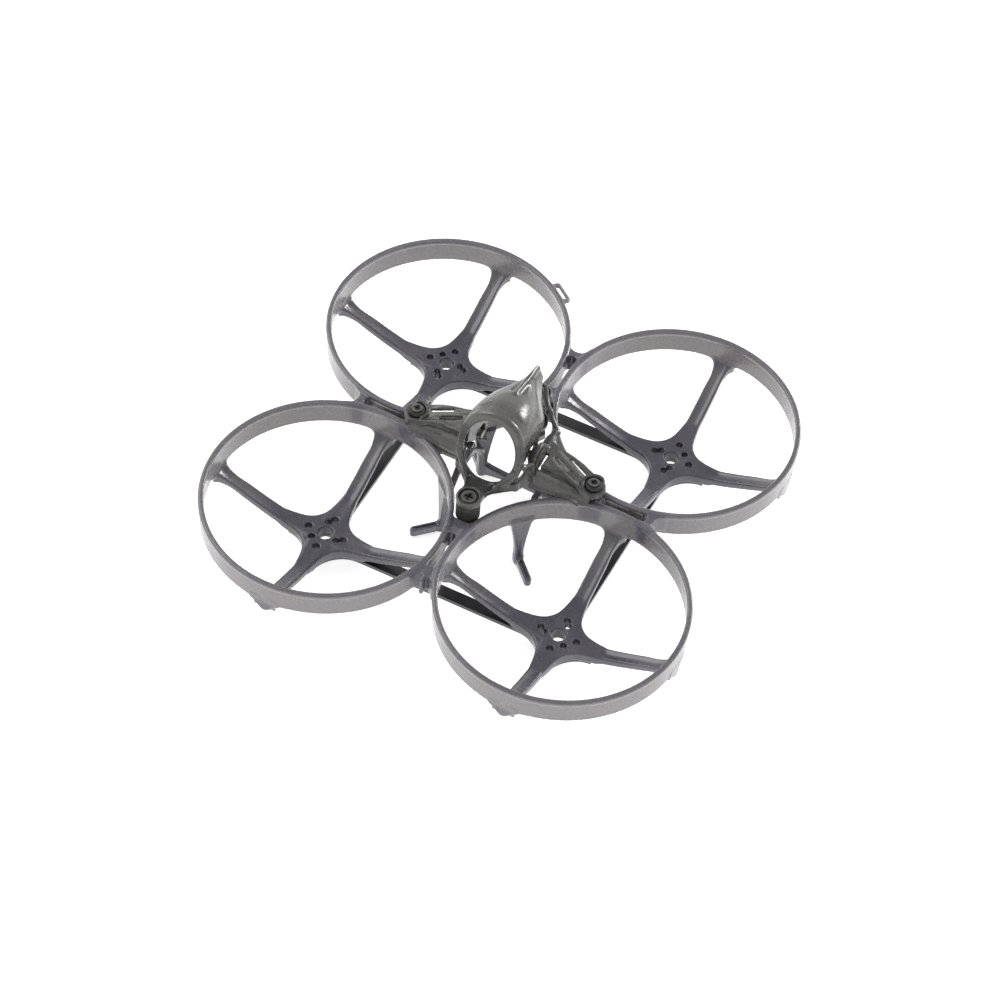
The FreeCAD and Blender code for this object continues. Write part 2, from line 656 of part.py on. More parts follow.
def canopy_shell():
    pieces = [hood(), chin()] + rear_strap()
    for solid in [wing(), apron(), rear_arm(1)] + pivot_wall():
        pieces.append(solid)
        pieces.append(mirrored_x(solid))
    pieces += [end_boss(-1), end_boss(1)]
    body = pieces[0].multiFuse(pieces[1:])
    for side in (-1, 1):
        y = side * END_MOUNT_Y
        body = body.cut(cylinder(END_GROMMET_RADIUS - END_GROMMET_GROOVE, END_BOSS_BOTTOM - 4,
                                 END_BOSS_TOP + 4, 0, y))
        seat = END_BOSS_BOTTOM + END_BOSS_SEAT
        body = body.cut(cylinder(END_GROMMET_RADIUS, seat, END_BOSS_TOP + 4, 0, y))
        body = body.cut(cylinder(END_GROMMET_BARREL + 0.2, END_GROMMET_BOTTOM - 1, END_BOSS_BOTTOM, 0, y))
        body = body.cut(cylinder(TIP_HOLE_RADIUS, 0, 30, side * WING_TIP_X, 0))
        body = body.cut(cylinder(TIP_GROMMET_RADIUS + 0.1, WING_TIP_TOP, 30, side * WING_TIP_X, 0))
        body = body.cut(cylinder(TIP_GROMMET_RADIUS + 0.1, 0, WING_TIP_TOP - WING_TIP_BOSS,
                                 side * WING_TIP_X, 0))
        bush_hole = cylinder_along_x(BUSH_BARREL_RADIUS, PIVOT_INNER_FACE - 2, PIVOT_OUTER_FACE + 2,
                                     PIVOT_Y, PIVOT_Z)
        lug_inner = PIVOT_X - LUG_HALF_THICKNESS
        lug_outer = PIVOT_X + LUG_HALF_THICKNESS
        recesses = [
            cylinder_along_x(BUSH_RADIUS, lug_outer, PIVOT_OUTER_FACE + 2, PIVOT_Y, PIVOT_Z),
            cylinder_along_x(BUSH_RADIUS, PIVOT_INNER_FACE - 2, lug_inner, PIVOT_Y, PIVOT_Z),
        ]
        for tool in [bush_hole] + recesses:
            body = body.cut(tool if side > 0 else mirrored_x(tool))
    return body


# ---- soft mounts and fasteners ------------------------------------------------------------
def end_grommet(side):
    """Collared rubber bush that fills the boss and stands on the damper side of it."""
    y = side * END_MOUNT_Y
    round_top = END_GROMMET_BOTTOM + END_GROMMET_ROUND
    seat = END_BOSS_BOTTOM + END_BOSS_SEAT
    foot = Part.makeCone(END_GROMMET_BARREL - END_GROMMET_ROUND, END_GROMMET_BARREL, END_GROMMET_ROUND,
                         V(0, y, END_GROMMET_BOTTOM))
    body = fuse_all([
        foot,
        cylinder(END_GROMMET_BARREL, round_top, END_BOSS_BOTTOM, 0, y),
        cylinder(END_GROMMET_RADIUS - END_GROMMET_GROOVE, END_BOSS_BOTTOM, seat, 0, y),
        cylinder(END_GROMMET_RADIUS, seat, END_BOSS_TOP - 0.4, 0, y),
    ])
    recess_floor = END_BOSS_TOP - HEAD_RECESS
    body = body.cut(cylinder(POST_SCREW_HEAD_RADIUS + SMALL, recess_floor, END_BOSS_TOP, 0, y))
    return body.cut(cylinder(POST_SCREW_RADIUS + SCREW_CLEARANCE, 0, END_BOSS_TOP, 0, y))


def tip_grommet(side):
    """Rubber spool clamped in the wing tip, standing on the duct bridge."""
    x = side * WING_TIP_X
    boss_bottom = WING_TIP_TOP - WING_TIP_BOSS
    body = fuse_all([
        cylinder(TIP_NECK_RADIUS, BRIDGE_TOP, boss_bottom - TIP_FLANGE, x, 0),
        cylinder(TIP_GROMMET_RADIUS, boss_bottom - TIP_FLANGE, boss_bottom, x, 0),
        cylinder(TIP_HOLE_RADIUS, boss_bottom, WING_TIP_TOP, x, 0),
        cylinder(TIP_GROMMET_RADIUS, WING_TIP_TOP, WING_TIP_TOP + TIP_CROWN, x, 0),
    ])
    return body.cut(cylinder(TIP_SCREW_RADIUS + SMALL, 0, 30, x, 0))


def fc_damper(quarter):
    """Collared rubber bush hanging in one flight controller eyelet."""
    body = fuse_all([
        cylinder(DAMPER_RADIUS, DAMPER_BOTTOM, EYELET_BOTTOM, 0, FC_RADIUS),
        cylinder(DAMPER_NECK_RADIUS, EYELET_BOTTOM, EYELET_TOP, 0, FC_RADIUS),
        cylinder(DAMPER_RADIUS, EYELET_TOP, DAMPER_FLANGE_TOP, 0, FC_RADIUS),
    ])
    body = body.cut(cylinder(DAMPER_HOLE_RADIUS, 0, 20, 0, FC_RADIUS))
    return turned(body, quarter)


def cross_recess(radius, top, x, y):
    """Crosshead recess for a screw whose head ends at this height."""
    arm = radius * RECESS_ARM
    half = RECESS_HALF_WIDTH
    bars = [box(-arm, arm, -half, half, -RECESS_DEPTH, 1), box(-half, half, -arm, arm, -RECESS_DEPTH, 1)]
    return moved(fuse_all(bars), x, y, top)


def post_screws():
    """The two long screws at the front and rear of the canopy."""
    solids = []
    for side in (-1, 1):
        y = side * END_MOUNT_Y
        seat = END_BOSS_TOP - HEAD_RECESS
        top = seat + POST_SCREW_HEAD_HEIGHT
        shank = cylinder(POST_SCREW_RADIUS, DAMPER_BOTTOM - NUT_HEIGHT - 0.4, seat, 0, y)
        head = cylinder(POST_SCREW_HEAD_RADIUS, seat, top, 0, y)
        solids.append(fuse_all([shank, head]).cut(cross_recess(POST_SCREW_HEAD_RADIUS, top, 0, y)))
    return Part.makeCompound(solids)


def post_nuts():
    """Hexagon nuts under the front and rear dampers."""
    solids = []
    corner = NUT_ACROSS_FLATS / 2 / math.cos(math.radians(30))
    for side in (-1, 1):
        y = side * END_MOUNT_Y
        points = [V(corner * math.cos(math.radians(60 * k)), y + corner * math.sin(math.radians(60 * k)),
                    DAMPER_BOTTOM - NUT_HEIGHT) for k in range(6)]
        nut = polygon_prism(points, V(0, 0, NUT_HEIGHT))
        solids.append(nut.cut(cylinder(POST_SCREW_RADIUS, 0, 20, 0, y)))
    return Part.makeCompound(solids)


def tip_screws():
    """The two short screws that hold the wing tips to the duct bridges."""
    solids = []
    for side in (-1, 1):
        x = side * WING_TIP_X
        seat = WING_TIP_TOP + TIP_CROWN
        top = seat + TIP_SCREW_HEAD_HEIGHT
        shank = cylinder(TIP_SCREW_RADIUS, BRIDGE_BOTTOM + 0.6, seat, x, 0)
        head = cylinder(TIP_SCREW_HEAD_RADIUS, seat, top, x, 0)
        solids.append(fuse_all([shank, head]).cut(cross_recess(TIP_SCREW_HEAD_RADIUS, top, x, 0)))
    return Part.makeCompound(solids)


# ---- camera pivots ------------------------------------------------------------------------
def camera_bush():
    """Rubber bush clipped into the hood's right side wall."""
    lug_inner = PIVOT_X - LUG_HALF_THICKNESS
    lug_outer = PIVOT_X + LUG_HALF_THICKNESS
    body = fuse_all([
        cylinder_along_x(BUSH_RADIUS - SMALL, BUSH_INNER_FACE, lug_inner, PIVOT_Y, PIVOT_Z),
        cylinder_along_x(BUSH_BARREL_RADIUS, lug_inner, lug_outer, PIVOT_Y, PIVOT_Z),
        cylinder_along_x(BUSH_RADIUS - SMALL, lug_outer, BUSH_OUTER_FACE, PIVOT_Y, PIVOT_Z),
    ])
    bore = cylinder_along_x(PIVOT_PIN_RADIUS + PIVOT_RUNNING_CLEARANCE, 0, 20, PIVOT_Y, PIVOT_Z)
    return body.cut(bore)


def camera_pivot():
    """Slotted pin that turns in the right bush and carries the camera's side."""
    pin = cylinder_along_x(PIVOT_PIN_RADIUS, PIVOT_INNER_FACE, PIVOT_OUTER_FACE, PIVOT_Y, PIVOT_Z)
    pin = pin.fuse(cylinder_along_x(CAMERA_PIN_RADIUS, CAMERA_PIN_END, PIVOT_INNER_FACE, PIVOT_Y, PIVOT_Z))
    slot = box(PIVOT_OUTER_FACE - PIVOT_SLOT_DEPTH, PIVOT_OUTER_FACE + 1, PIVOT_Y - 2, PIVOT_Y + 2,
               PIVOT_Z - PIVOT_SLOT_WIDTH / 2, PIVOT_Z + PIVOT_SLOT_WIDTH / 2)
    return pin.cut(slot)


# ---- write every piece --------------------------------------------------------------------
def all_parts():
    parts = {
        "duct_frame": duct_frame(),
        "carbon_brace": carbon_brace(),
        "canopy_shell": canopy_shell(),
        "canopy_grommet_front": end_grommet(-1),
        "canopy_grommet_rear": end_grommet(1),
        "canopy_grommet_left": tip_grommet(-1),
        "canopy_grommet_right": tip_grommet(1),
        "post_screws": post_screws(),
        "post_nuts": post_nuts(),
        "tip_screws": tip_screws(),
        "camera_bush_right": camera_bush(),
        "camera_bush_left": mirrored_x(camera_bush()),
        "camera_pivot_right": camera_pivot(),
        "camera_pivot_left": mirrored_x(camera_pivot()),
    }
    for quarter, place in enumerate(("rear", "left", "front", "right")):
        parts["fc_damper_" + place] = fc_damper(quarter)
    return parts


def main():
    os.makedirs("parts", exist_ok=True)
    for name, shape in all_parts().items():
        print(name, "solids", len(shape.Solids), "valid", shape.isValid(),
              "volume", round(shape.Volume, 2))
        shape.exportStep("parts/" + name + ".step")


if __name__ == "__main__":
    main()
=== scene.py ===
"""Ducted FPV racing quadcopter airframe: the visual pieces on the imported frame.

Lengths in this script are millimetres; a mesh is scaled to metres when its object is made.
+Z is up, -Y is the nose, +X is the craft's right-hand side, the origin is between the motors.
"""
import bpy
import math
import numpy as np
from mathutils import Matrix, Vector


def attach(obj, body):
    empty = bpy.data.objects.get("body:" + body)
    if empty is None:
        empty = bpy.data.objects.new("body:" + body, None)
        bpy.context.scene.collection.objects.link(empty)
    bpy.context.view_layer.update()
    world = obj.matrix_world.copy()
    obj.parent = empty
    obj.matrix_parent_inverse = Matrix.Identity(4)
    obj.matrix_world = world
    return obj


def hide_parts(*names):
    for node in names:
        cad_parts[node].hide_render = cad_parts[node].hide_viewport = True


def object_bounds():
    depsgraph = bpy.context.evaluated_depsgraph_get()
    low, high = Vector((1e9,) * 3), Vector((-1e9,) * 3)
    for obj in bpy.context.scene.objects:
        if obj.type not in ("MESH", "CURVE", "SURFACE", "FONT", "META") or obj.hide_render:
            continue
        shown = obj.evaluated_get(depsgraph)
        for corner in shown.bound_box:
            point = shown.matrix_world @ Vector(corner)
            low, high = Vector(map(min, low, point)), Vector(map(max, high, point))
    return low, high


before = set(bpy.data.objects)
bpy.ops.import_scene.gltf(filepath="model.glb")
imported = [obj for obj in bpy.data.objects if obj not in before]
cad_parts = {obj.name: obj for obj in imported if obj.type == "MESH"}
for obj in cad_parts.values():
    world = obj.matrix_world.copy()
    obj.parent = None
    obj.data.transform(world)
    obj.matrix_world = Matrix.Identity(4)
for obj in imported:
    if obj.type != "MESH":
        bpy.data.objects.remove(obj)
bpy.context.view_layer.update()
MM = 0.001
BODY = "airframe"

# ---- driving dimensions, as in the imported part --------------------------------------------
HUB = 85.0 / (2 * math.sqrt(2))
LIP_RADIUS = 29.2
LIP_TOP = 13.5
WALL_MIDDLE = 28.5
WALL_HALF = 0.45
WALL_BOTTOM = 6.9
WALL_TOP = 13.2
FOOT_DROP = 2.6
SEAT_BOTTOM = -2.5
SEAT_REACH = 11.5
MOTOR_BORE = 1.8
CROSS_HOLES = (4.5, 0.85)           # circle radius and hole radius of the four screw holes
SMALL_HOLES = (3.3, 0.78)           # the same for the three holes of smaller motors
BRIDGE_HEIGHTS = (8.2, 13.2)
BRIDGE_HALF_WIDTH = 4.4
BRIDGE_ENDS = (20.9, 38.2)          # measured outwards from the middle of the craft
FRONT_EXTRA = 1.0                   # the front bridge reaches further out
BRIDGE_SLOT = (26.8, 34.9, 1.48)    # the two centres of its round ends, half width
WEB_HOLLOW = 2.8
FC_RADIUS = 25.5 / math.sqrt(2)
EYELET = (7.0, 8.4, 2.5)            # bottom, top, radius
EYELET_BORE = 1.45
DAMPER_SEAT = 2.0
POST_OFFSET = 9.8
POST_BOTTOM = -7.6
HOOK_TOP = -5.4
PIVOT = (8.6, -0.6, 19.2)
WING_TIP = (22.8, 16.7)             # distance from the middle, height of the top
TIP_SCREW_HOLE = 0.72
END_BOSS = (17.0, 18.7, 2.9)        # bottom, top, radius
END_SEAT = (17.6, 2.32)             # floor and radius of the recess for the grommet's head
END_BORE = 1.8
BUSH_SEAT = 2.5
BUSH_BORE = 2.0


# ---- distance fields ----------------------------------------------------------------------
def join(a, b, soft):
    """Union of two solids with a fillet of about this size."""
    h = np.clip(0.5 + 0.5 * (b - a) / soft, 0.0, 1.0)
    return b + (a - b) * h - soft * h * (1.0 - h)


def meet(a, b, soft):
    return -join(-a, -b, soft)


def cut(a, b, soft):
    return -join(-a, b, soft)


def flat_box(x, y, half_x, half_y, rounding):
    """Rounded rectangle in two coordinates."""
    dx = np.abs(x) - half_x + rounding
    dy = np.abs(y) - half_y + rounding
    outside = np.hypot(np.maximum(dx, 0.0), np.maximum(dy, 0.0))
    return outside + np.minimum(np.maximum(dx, dy), 0.0) - rounding


def slab(z, low, high):
    return np.abs(z - (low + high) / 2) - (high - low) / 2


def ellipse(x, z, half_x, half_z):
    """Close estimate of the distance to an ellipse."""
    level = np.sqrt((x / half_x) ** 2 + (z / half_z) ** 2) + 1e-6
    slope = np.sqrt((x / half_x ** 2) ** 2 + (z / half_z ** 2) ** 2) + 1e-6
    return level * (level - 1.0) / slope


def gothic(x, z, half_x, half_z, power):
    """Arch that gets more pointed as the power falls below 2."""
    fx = np.abs(x) / half_x + 1e-6
    fz = np.abs(z) / half_z + 1e-6
    level = (fx ** power + fz ** power) ** (1.0 / power)
    slope = np.hypot((fx / level) ** (power - 1.0) / half_x, (fz / level) ** (power - 1.0) / half_z)
    return (level - 1.0) / slope


def segment(px, py, ax, ay, bx, by):
    """Distance to a line between two points, and how far along it the nearest point lies."""
    dx = bx - ax
    dy = by - ay
    t = np.clip(((px - ax) * dx + (py - ay) * dy) / (dx * dx + dy * dy), 0.0, 1.0)
    return np.hypot(px - ax - t * dx, py - ay - t * dy), t


def rod(x, y, z, start, end, radius_start, radius_end):
    d = [end[i] - start[i] for i in range(3)]
    length = sum(c * c for c in d)
    t = ((x - start[0]) * d[0] + (y - start[1]) * d[1] + (z - start[2]) * d[2]) / length
    t = np.clip(t, 0.0, 1.0)
    gap = np.sqrt((x - start[0] - t * d[0]) ** 2 + (y - start[1] - t * d[1]) ** 2
                  + (z - start[2] - t * d[2]) ** 2)
    return gap - radius_start - (radius_end - radius_start) * t


def track(stations, steps=24):
    """Smooth curve through stations: a table for np.interp, one row per quantity."""
    points = np.array(stations, dtype=float)
    slopes = np.gradient(points, points[:, 0], axis=0)
    rows = []
    for i in range(len(points) - 1):
        span = points[i + 1, 0] - points[i, 0]
        for s in np.linspace(0.0, 1.0, steps, endpoint=False):
            a = 2 * s ** 3 - 3 * s ** 2 + 1
            b = s ** 3 - 2 * s ** 2 + s
            c = -2 * s ** 3 + 3 * s ** 2
            d = s ** 3 - s ** 2
            here = a * points[i] + b * span * slopes[i]
            rows.append(here + c * points[i + 1] + d * span * slopes[i + 1])
    rows.append(points[-1])
    return np.array(rows).T


def along(table, t, column):
    return np.interp(t, table[0], table[column])


# ---- from a field to a mesh ---------------------------------------------------------------
CORNERS = np.array([(i, j, k) for i in (0, 1) for j in (0, 1) for k in (0, 1)])
EDGES = [(a, b) for a in range(8) for b in range(a + 1, 8) if abs(CORNERS[a] - CORNERS[b]).sum() == 1]
RELAX_ROUNDS = 2
DEPTH_STEP = 0.3                    # the depth of material is probed in steps of this length
DEPTH_PROBES = 10
DEPTH_SMOOTHING = 16


def gradient(field, p, step=0.02):
    parts = []
    for axis in range(3):
        shift = np.zeros(3)
        shift[axis] = step
        ahead = field(*(p + shift).T)
        behind = field(*(p - shift).T)
        parts.append((ahead - behind) / (2 * step))
    return np.stack(parts, axis=1)


def settle(field, p, reach, rounds):
    """Pull the points onto the surface along its slope."""
    for _ in range(rounds):
        g = gradient(field, p)
        size = np.maximum((g * g).sum(axis=1), 0.05)
        move = -(field(*p.T) / size)[:, None] * g
        length = np.linalg.norm(move, axis=1, keepdims=True) + 1e-9
        p = p + move * np.minimum(1.0, reach / length)
    return p


def quad_sides(quads):
    return np.concatenate([quads[:, [i, (i + 1) % 4]] for i in range(4)])


def surface(field, low, high, voxel):
    """Even quads on the zero surface of a field, settled exactly onto it."""
    low = np.array(low, dtype=float)
    counts = np.ceil((np.array(high) - low) / voxel).astype(int) + 1
    axes = [low[i] + voxel * np.arange(counts[i]) for i in range(3)]
    grid = np.meshgrid(*axes, indexing="ij", sparse=True)
    values = np.broadcast_to(field(*grid), counts).astype(np.float32)
    inside = values < 0
    total = np.zeros(counts - 1, dtype=np.uint8)
    for i, j, k in CORNERS:
        total += inside[i:counts[0] - 1 + i, j:counts[1] - 1 + j, k:counts[2] - 1 + k]
    cells = np.argwhere((total > 0) & (total < 8))
    corner_values = np.stack([values[tuple((cells + c).T)] for c in CORNERS], axis=1)
    place = np.zeros((len(cells), 3))
    crossings = np.zeros(len(cells))
    for a, b in EDGES:
        va = corner_values[:, a]
        vb = corner_values[:, b]
        crossed = (va < 0) != (vb < 0)
        t = np.where(crossed, va / np.where(crossed, va - vb, 1.0), 0.0)
        spot = CORNERS[a] + t[:, None] * (CORNERS[b] - CORNERS[a])
        place += np.where(crossed[:, None], spot, 0.0)
        crossings += crossed
    points = low + voxel * (cells + place / crossings[:, None])
    ids = np.full(counts - 1, -1, dtype=np.int64)
    ids[tuple(cells.T)] = np.arange(len(cells))
    quads = []
    for axis in range(3):
        ahead = [slice(None)] * 3
        behind = [slice(None)] * 3
        ahead[axis] = slice(1, None)
        behind[axis] = slice(None, -1)
        changed = inside[tuple(ahead)] != inside[tuple(behind)]
        spots = np.argwhere(changed)
        u, v = [(1, 2), (2, 0), (0, 1)][axis]
        around = []
        for du, dv in ((-1, -1), (0, -1), (0, 0), (-1, 0)):
            offset = np.zeros(3, dtype=int)
            offset[u] = du
            offset[v] = dv
            around.append(ids[tuple((spots + offset).T)])
        quad = np.stack(around, axis=1)
        leaving = inside[tuple(spots.T)]
        quad[~leaving] = quad[~leaving][:, ::-1]
        quads.append(quad)
    quads = np.concatenate(quads)
    points = settle(field, points, voxel, 2)
    sides = quad_sides(quads)
    for _ in range(RELAX_ROUNDS):
        count = np.bincount(sides.ravel(), minlength=len(points))
        mean = np.empty_like(points)
        for axis in range(3):
            mean[:, axis] = (np.bincount(sides[:, 0], points[sides[:, 1], axis], len(points))
                             + np.bincount(sides[:, 1], points[sides[:, 0], axis], len(points)))
        mean /= np.maximum(count, 1)[:, None]
        points = settle(field, points + 0.5 * (mean - points), voxel, 1)
    points = settle(field, points, voxel * 0.5, 2)
    normals = gradient(field, points)
    normals /= np.linalg.norm(normals, axis=1, keepdims=True) + 1e-9
    return points, quads, normals


def wall_depth(field, points, quads, normals):
    """Length of material straight in from each point, up to a few millimetres, smoothed."""
    depth = np.zeros(len(points))
    inside = np.ones(len(points), dtype=bool)
    for k in range(1, DEPTH_PROBES + 1):
        inside &= field(*(points - normals * DEPTH_STEP * k).T) < 0.0
        depth += DEPTH_STEP * inside
    sides = quad_sides(quads)
    count = np.maximum(np.bincount(sides[:, 0], minlength=len(points)), 1)
    for _ in range(DEPTH_SMOOTHING):
        near = np.bincount(sides[:, 0], depth[sides[:, 1]], len(points)) / count
        depth = 0.5 * depth + 0.5 * near
    return depth


def mesh_object(name, points, faces, normals, depth, material):
    """Blender object from a settled surface, shaded with the field's own normals."""
    mesh = bpy.data.meshes.new(name)
    mesh.vertices.add(len(points))
    mesh.vertices.foreach_set("co", (points * MM).astype(np.float32).ravel())
    mesh.loops.add(faces.size)
    mesh.loops.foreach_set("vertex_index", faces.ravel().astype(np.int32))
    mesh.polygons.add(len(faces))
    mesh.polygons.foreach_set("loop_start", np.arange(0, faces.size, 4, dtype=np.int32))
    mesh.update(calc_edges=True)
    mesh.validate()
    mesh.shade_smooth()
    mesh.normals_split_custom_set_from_vertices(normals.astype(np.float32))
    thickness = mesh.attributes.new("depth", "FLOAT", "POINT")
    thickness.data.foreach_set("value", depth.astype(np.float32))
    mesh.materials.append(material)
    piece = bpy.data.objects.new(name, mesh)
    bpy.context.scene.collection.objects.link(piece)
    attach(piece, BODY)
    return piece


def sculpt(name, node, field, low, high, voxel, material):
    """Piece made from a field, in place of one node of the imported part."""
    points, quads, normals = surface(field, low, high, voxel)
    depth = wall_depth(field, points, quads, normals)
    piece = mesh_object(name, points, quads, normals, depth, material)
    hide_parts(node)


# ---- materials ----------------------------------------------------------------------------
def srgb(r, g, b):
    """Linear colour from 8-bit display values."""
    values = []
    for c in (r, g, b):
        c = c / 255
        values.append(c / 12.92 if c <= 0.04045 else ((c + 0.055) / 1.055) ** 2.4)
    return (*values, 1.0)


# reach of the painted shade in crevices
CREVICE_SHADE_REACH = 0.0016              # metres
TOW = 0.0011                        # width of one carbon tow, metres


class Looks:
    """Small helper that builds one node material."""

    def __init__(self, name):
        self.material = bpy.data.materials.new(name)
        self.material.use_nodes = True
        self.tree = self.material.node_tree
        self.shader = self.tree.nodes["Principled BSDF"]
        self.place = self.tree.nodes.new("ShaderNodeTexCoord").outputs["Object"]

    def node(self, kind, inputs=None, **settings):
        made = self.tree.nodes.new(kind)
        for key, value in settings.items():
            setattr(made, key, value)
        for key, value in (inputs or {}).items():
            self.feed(made.inputs[key], value)
        return made

    def feed(self, socket, value):
        if isinstance(value, bpy.types.NodeSocket):
            self.tree.links.new(value, socket)
        else:
            socket.default_value = value

    def set(self, **values):
        for key, value in values.items():
            self.feed(self.shader.inputs[key.replace("_", " ")], value)

    def noise(self, scale, detail=3.0, roughness=0.55, vector=None):
        made = self.node("ShaderNodeTexNoise", {"Vector": vector or self.place, "Scale": scale,
                                                "Detail": detail, "Roughness": roughness})
        return made.outputs["Fac"]

    def math(self, operation, a, b=0.0):
        made = self.node("ShaderNodeMath", operation=operation)
        self.feed(made.inputs[0], a)
        self.feed(made.inputs[1], b)
        return made.outputs[0]

    def scaled(self, value, low, high, to_low=0.0, to_high=1.0):
        made = self.node("ShaderNodeMapRange", {"Value": value, "From Min": low, "From Max": high,
                                                "To Min": to_low, "To Max": to_high},
                         interpolation_type="SMOOTHSTEP")
        return made.outputs["Result"]

    def mix(self, factor, a, b):
        made = self.node("ShaderNodeMix", data_type="RGBA")
        self.feed(made.inputs["Factor"], factor)
        self.feed(made.inputs["A"], a)
        self.feed(made.inputs["B"], b)
        return made.outputs["Result"]

    def painted_crevice_shade(self, strength):
        """Painted shade: grows darker in narrow gaps and small holes."""
        shade = self.node("ShaderNodeAmbientOcclusion", {"Distance": CREVICE_SHADE_REACH}, samples=4)
        return self.scaled(shade.outputs["AO"], 0.15, 0.7, strength, 0.0)

    def depth(self, low, high):
        """1 where the material is thick behind the surface."""
        stored = self.node("ShaderNodeAttribute", attribute_name="depth").outputs["Fac"]
        return self.scaled(stored, low, high)

    def height(self):
        split = self.node("ShaderNodeSeparateXYZ", {"Vector": self.place})
        return split.outputs["Z"]

    def bump(self, value, strength, distance):
        made = self.node("ShaderNodeBump", {"Height": value, "Strength": strength,
                                            "Distance": distance})
        self.set(Normal=made.outputs["Normal"])

    def painted_rim_light(self, low=0.55, high=0.98):
        """Painted rim highlight: 1 where the surface turns away from the viewer, standing in for light
        that shows through a thin edge.
        """
        facing = self.node("ShaderNodeLayerWeight", {"Blend": 0.5}).outputs["Facing"]
        return self.scaled(facing, low, high)

    def edge(self, low=0.52, high=0.62):
        """1 along outward edges."""
        pointed = self.node("ShaderNodeNewGeometry").outputs["Pointiness"]
        return self.scaled(pointed, low, high)


def frame_nylon():
    """Smoky translucent nylon with painted light: painted shade where it is thick, a painted milky,
    warm glow where it is thin, lighter higher up, a painted rim highlight at grazing angles and
    painted shade in crevices.
    """
    look = Looks("frame_nylon")
    cloud = look.noise(110.0, 3.0)
    # painted light: the colour gets lighter and warmer with height, standing in for light coming
    # through the upper walls
    low = look.scaled(look.height(), 0.0, 0.0068)
    thick = look.mix(low, srgb(66, 64, 74), srgb(84, 82, 90))
    thin = look.mix(low, srgb(98, 96, 105), srgb(124, 119, 119))
    # painted shade where the material is thick and a painted glow where the walls are thin, standing
    # in for light passing through
    colour = look.mix(look.depth(0.8, 2.4), thin, thick)
    colour = look.mix(look.scaled(cloud, 0.4, 0.75, 0.0, 0.3), colour, srgb(112, 108, 114))
    # painted rim highlight: lighter where the surface turns away from the viewer
    colour = look.mix(look.math("MULTIPLY", look.painted_rim_light(), 0.45), colour, srgb(176, 174, 184))
    # painted shade in narrow gaps and small holes
    colour = look.mix(look.painted_crevice_shade(0.6), colour, srgb(34, 33, 38))
    look.set(Base_Color=colour, Roughness=look.scaled(look.noise(900.0), 0.3, 0.7, 0.20, 0.32),
             Subsurface_Weight=0.35, Subsurface_Radius=(1.0, 0.94, 0.9), Subsurface_Scale=0.0012,
             Specular_IOR_Level=0.75)
    look.bump(look.noise(2600.0, 2.0), 0.06, 0.00004)
    return look.material


def canopy_plastic():
    """Smoky moulding with a warmer cast than the frame and faint flow marks, with painted shade where
    it is thick and in crevices and a painted rim highlight at grazing angles.
    """
    look = Looks("canopy_plastic")
    cloud = look.noise(70.0, 2.0)
    flow = look.noise(260.0, 3.0)
    thin = look.mix(look.scaled(cloud, 0.3, 0.7), srgb(68, 68, 64), srgb(84, 83, 80))
    # painted shade where the material is thick
    colour = look.mix(look.depth(0.9, 2.2), thin, srgb(48, 48, 47))
    colour = look.mix(look.scaled(flow, 0.45, 0.75, 0.0, 0.2), colour, srgb(92, 90, 89))
    # painted rim highlight: lighter where the surface turns away from the viewer
    colour = look.mix(look.math("MULTIPLY", look.painted_rim_light(0.7, 1.0), 0.4), colour, srgb(176, 174, 176))
    # painted shade in narrow gaps and small holes
    colour = look.mix(look.painted_crevice_shade(0.6), colour, srgb(30, 30, 29))
    look.set(Base_Color=colour, Roughness=look.scaled(look.noise(1200.0), 0.3, 0.7, 0.20, 0.30),
             Subsurface_Weight=0.3, Subsurface_Radius=(1.0, 0.97, 0.93), Subsurface_Scale=0.0012,
             Specular_IOR_Level=0.75)
    look.bump(look.noise(3000.0, 2.0), 0.04, 0.00003)
    return look.material


def carbon_plate():
    """Twill weave under clear resin; cut edges are plain."""
    look = Looks("carbon_plate")
    split = look.node("ShaderNodeSeparateXYZ", {"Vector": look.place})
    across = look.math("MULTIPLY", split.outputs["X"], 1 / TOW)
    upward = look.math("MULTIPLY", split.outputs["Y"], 1 / TOW)
    diagonal = look.math("ADD", look.math("FLOOR", across), look.math("FLOOR", upward))
    cell = look.math("MODULO", look.math("ADD", diagonal, 400.0), 4.0)
    over = look.math("LESS_THAN", cell, 1.5)
    grain_x = look.noise(1.0, 1.0, vector=look.node("ShaderNodeCombineXYZ", {
        "X": look.math("MULTIPLY", across, 9.0), "Y": look.math("MULTIPLY", upward, 0.6)}).outputs[0])
    grain_y = look.noise(1.0, 1.0, vector=look.node("ShaderNodeCombineXYZ", {
        "X": look.math("MULTIPLY", across, 0.6), "Y": look.math("MULTIPLY", upward, 9.0)}).outputs[0])
    grain = look.node("ShaderNodeMix", {"Factor": over}, data_type="FLOAT")
    look.feed(grain.inputs["A"], grain_x)
    look.feed(grain.inputs["B"], grain_y)
    strand = grain.outputs["Result"]
    colour = look.mix(look.scaled(strand, 0.3, 0.75), srgb(12, 12, 14), srgb(38, 38, 42))
    colour = look.mix(look.math("MULTIPLY", over, 0.35), colour, srgb(24, 24, 27))
    look.set(Base_Color=colour, Roughness=look.scaled(strand, 0.3, 0.7, 0.28, 0.5), Coat_Weight=0.6,
             Coat_Roughness=0.18)
    look.bump(look.math("ADD", strand, look.math("MULTIPLY", over, 0.4)), 0.35, 0.00006)
    return look.material


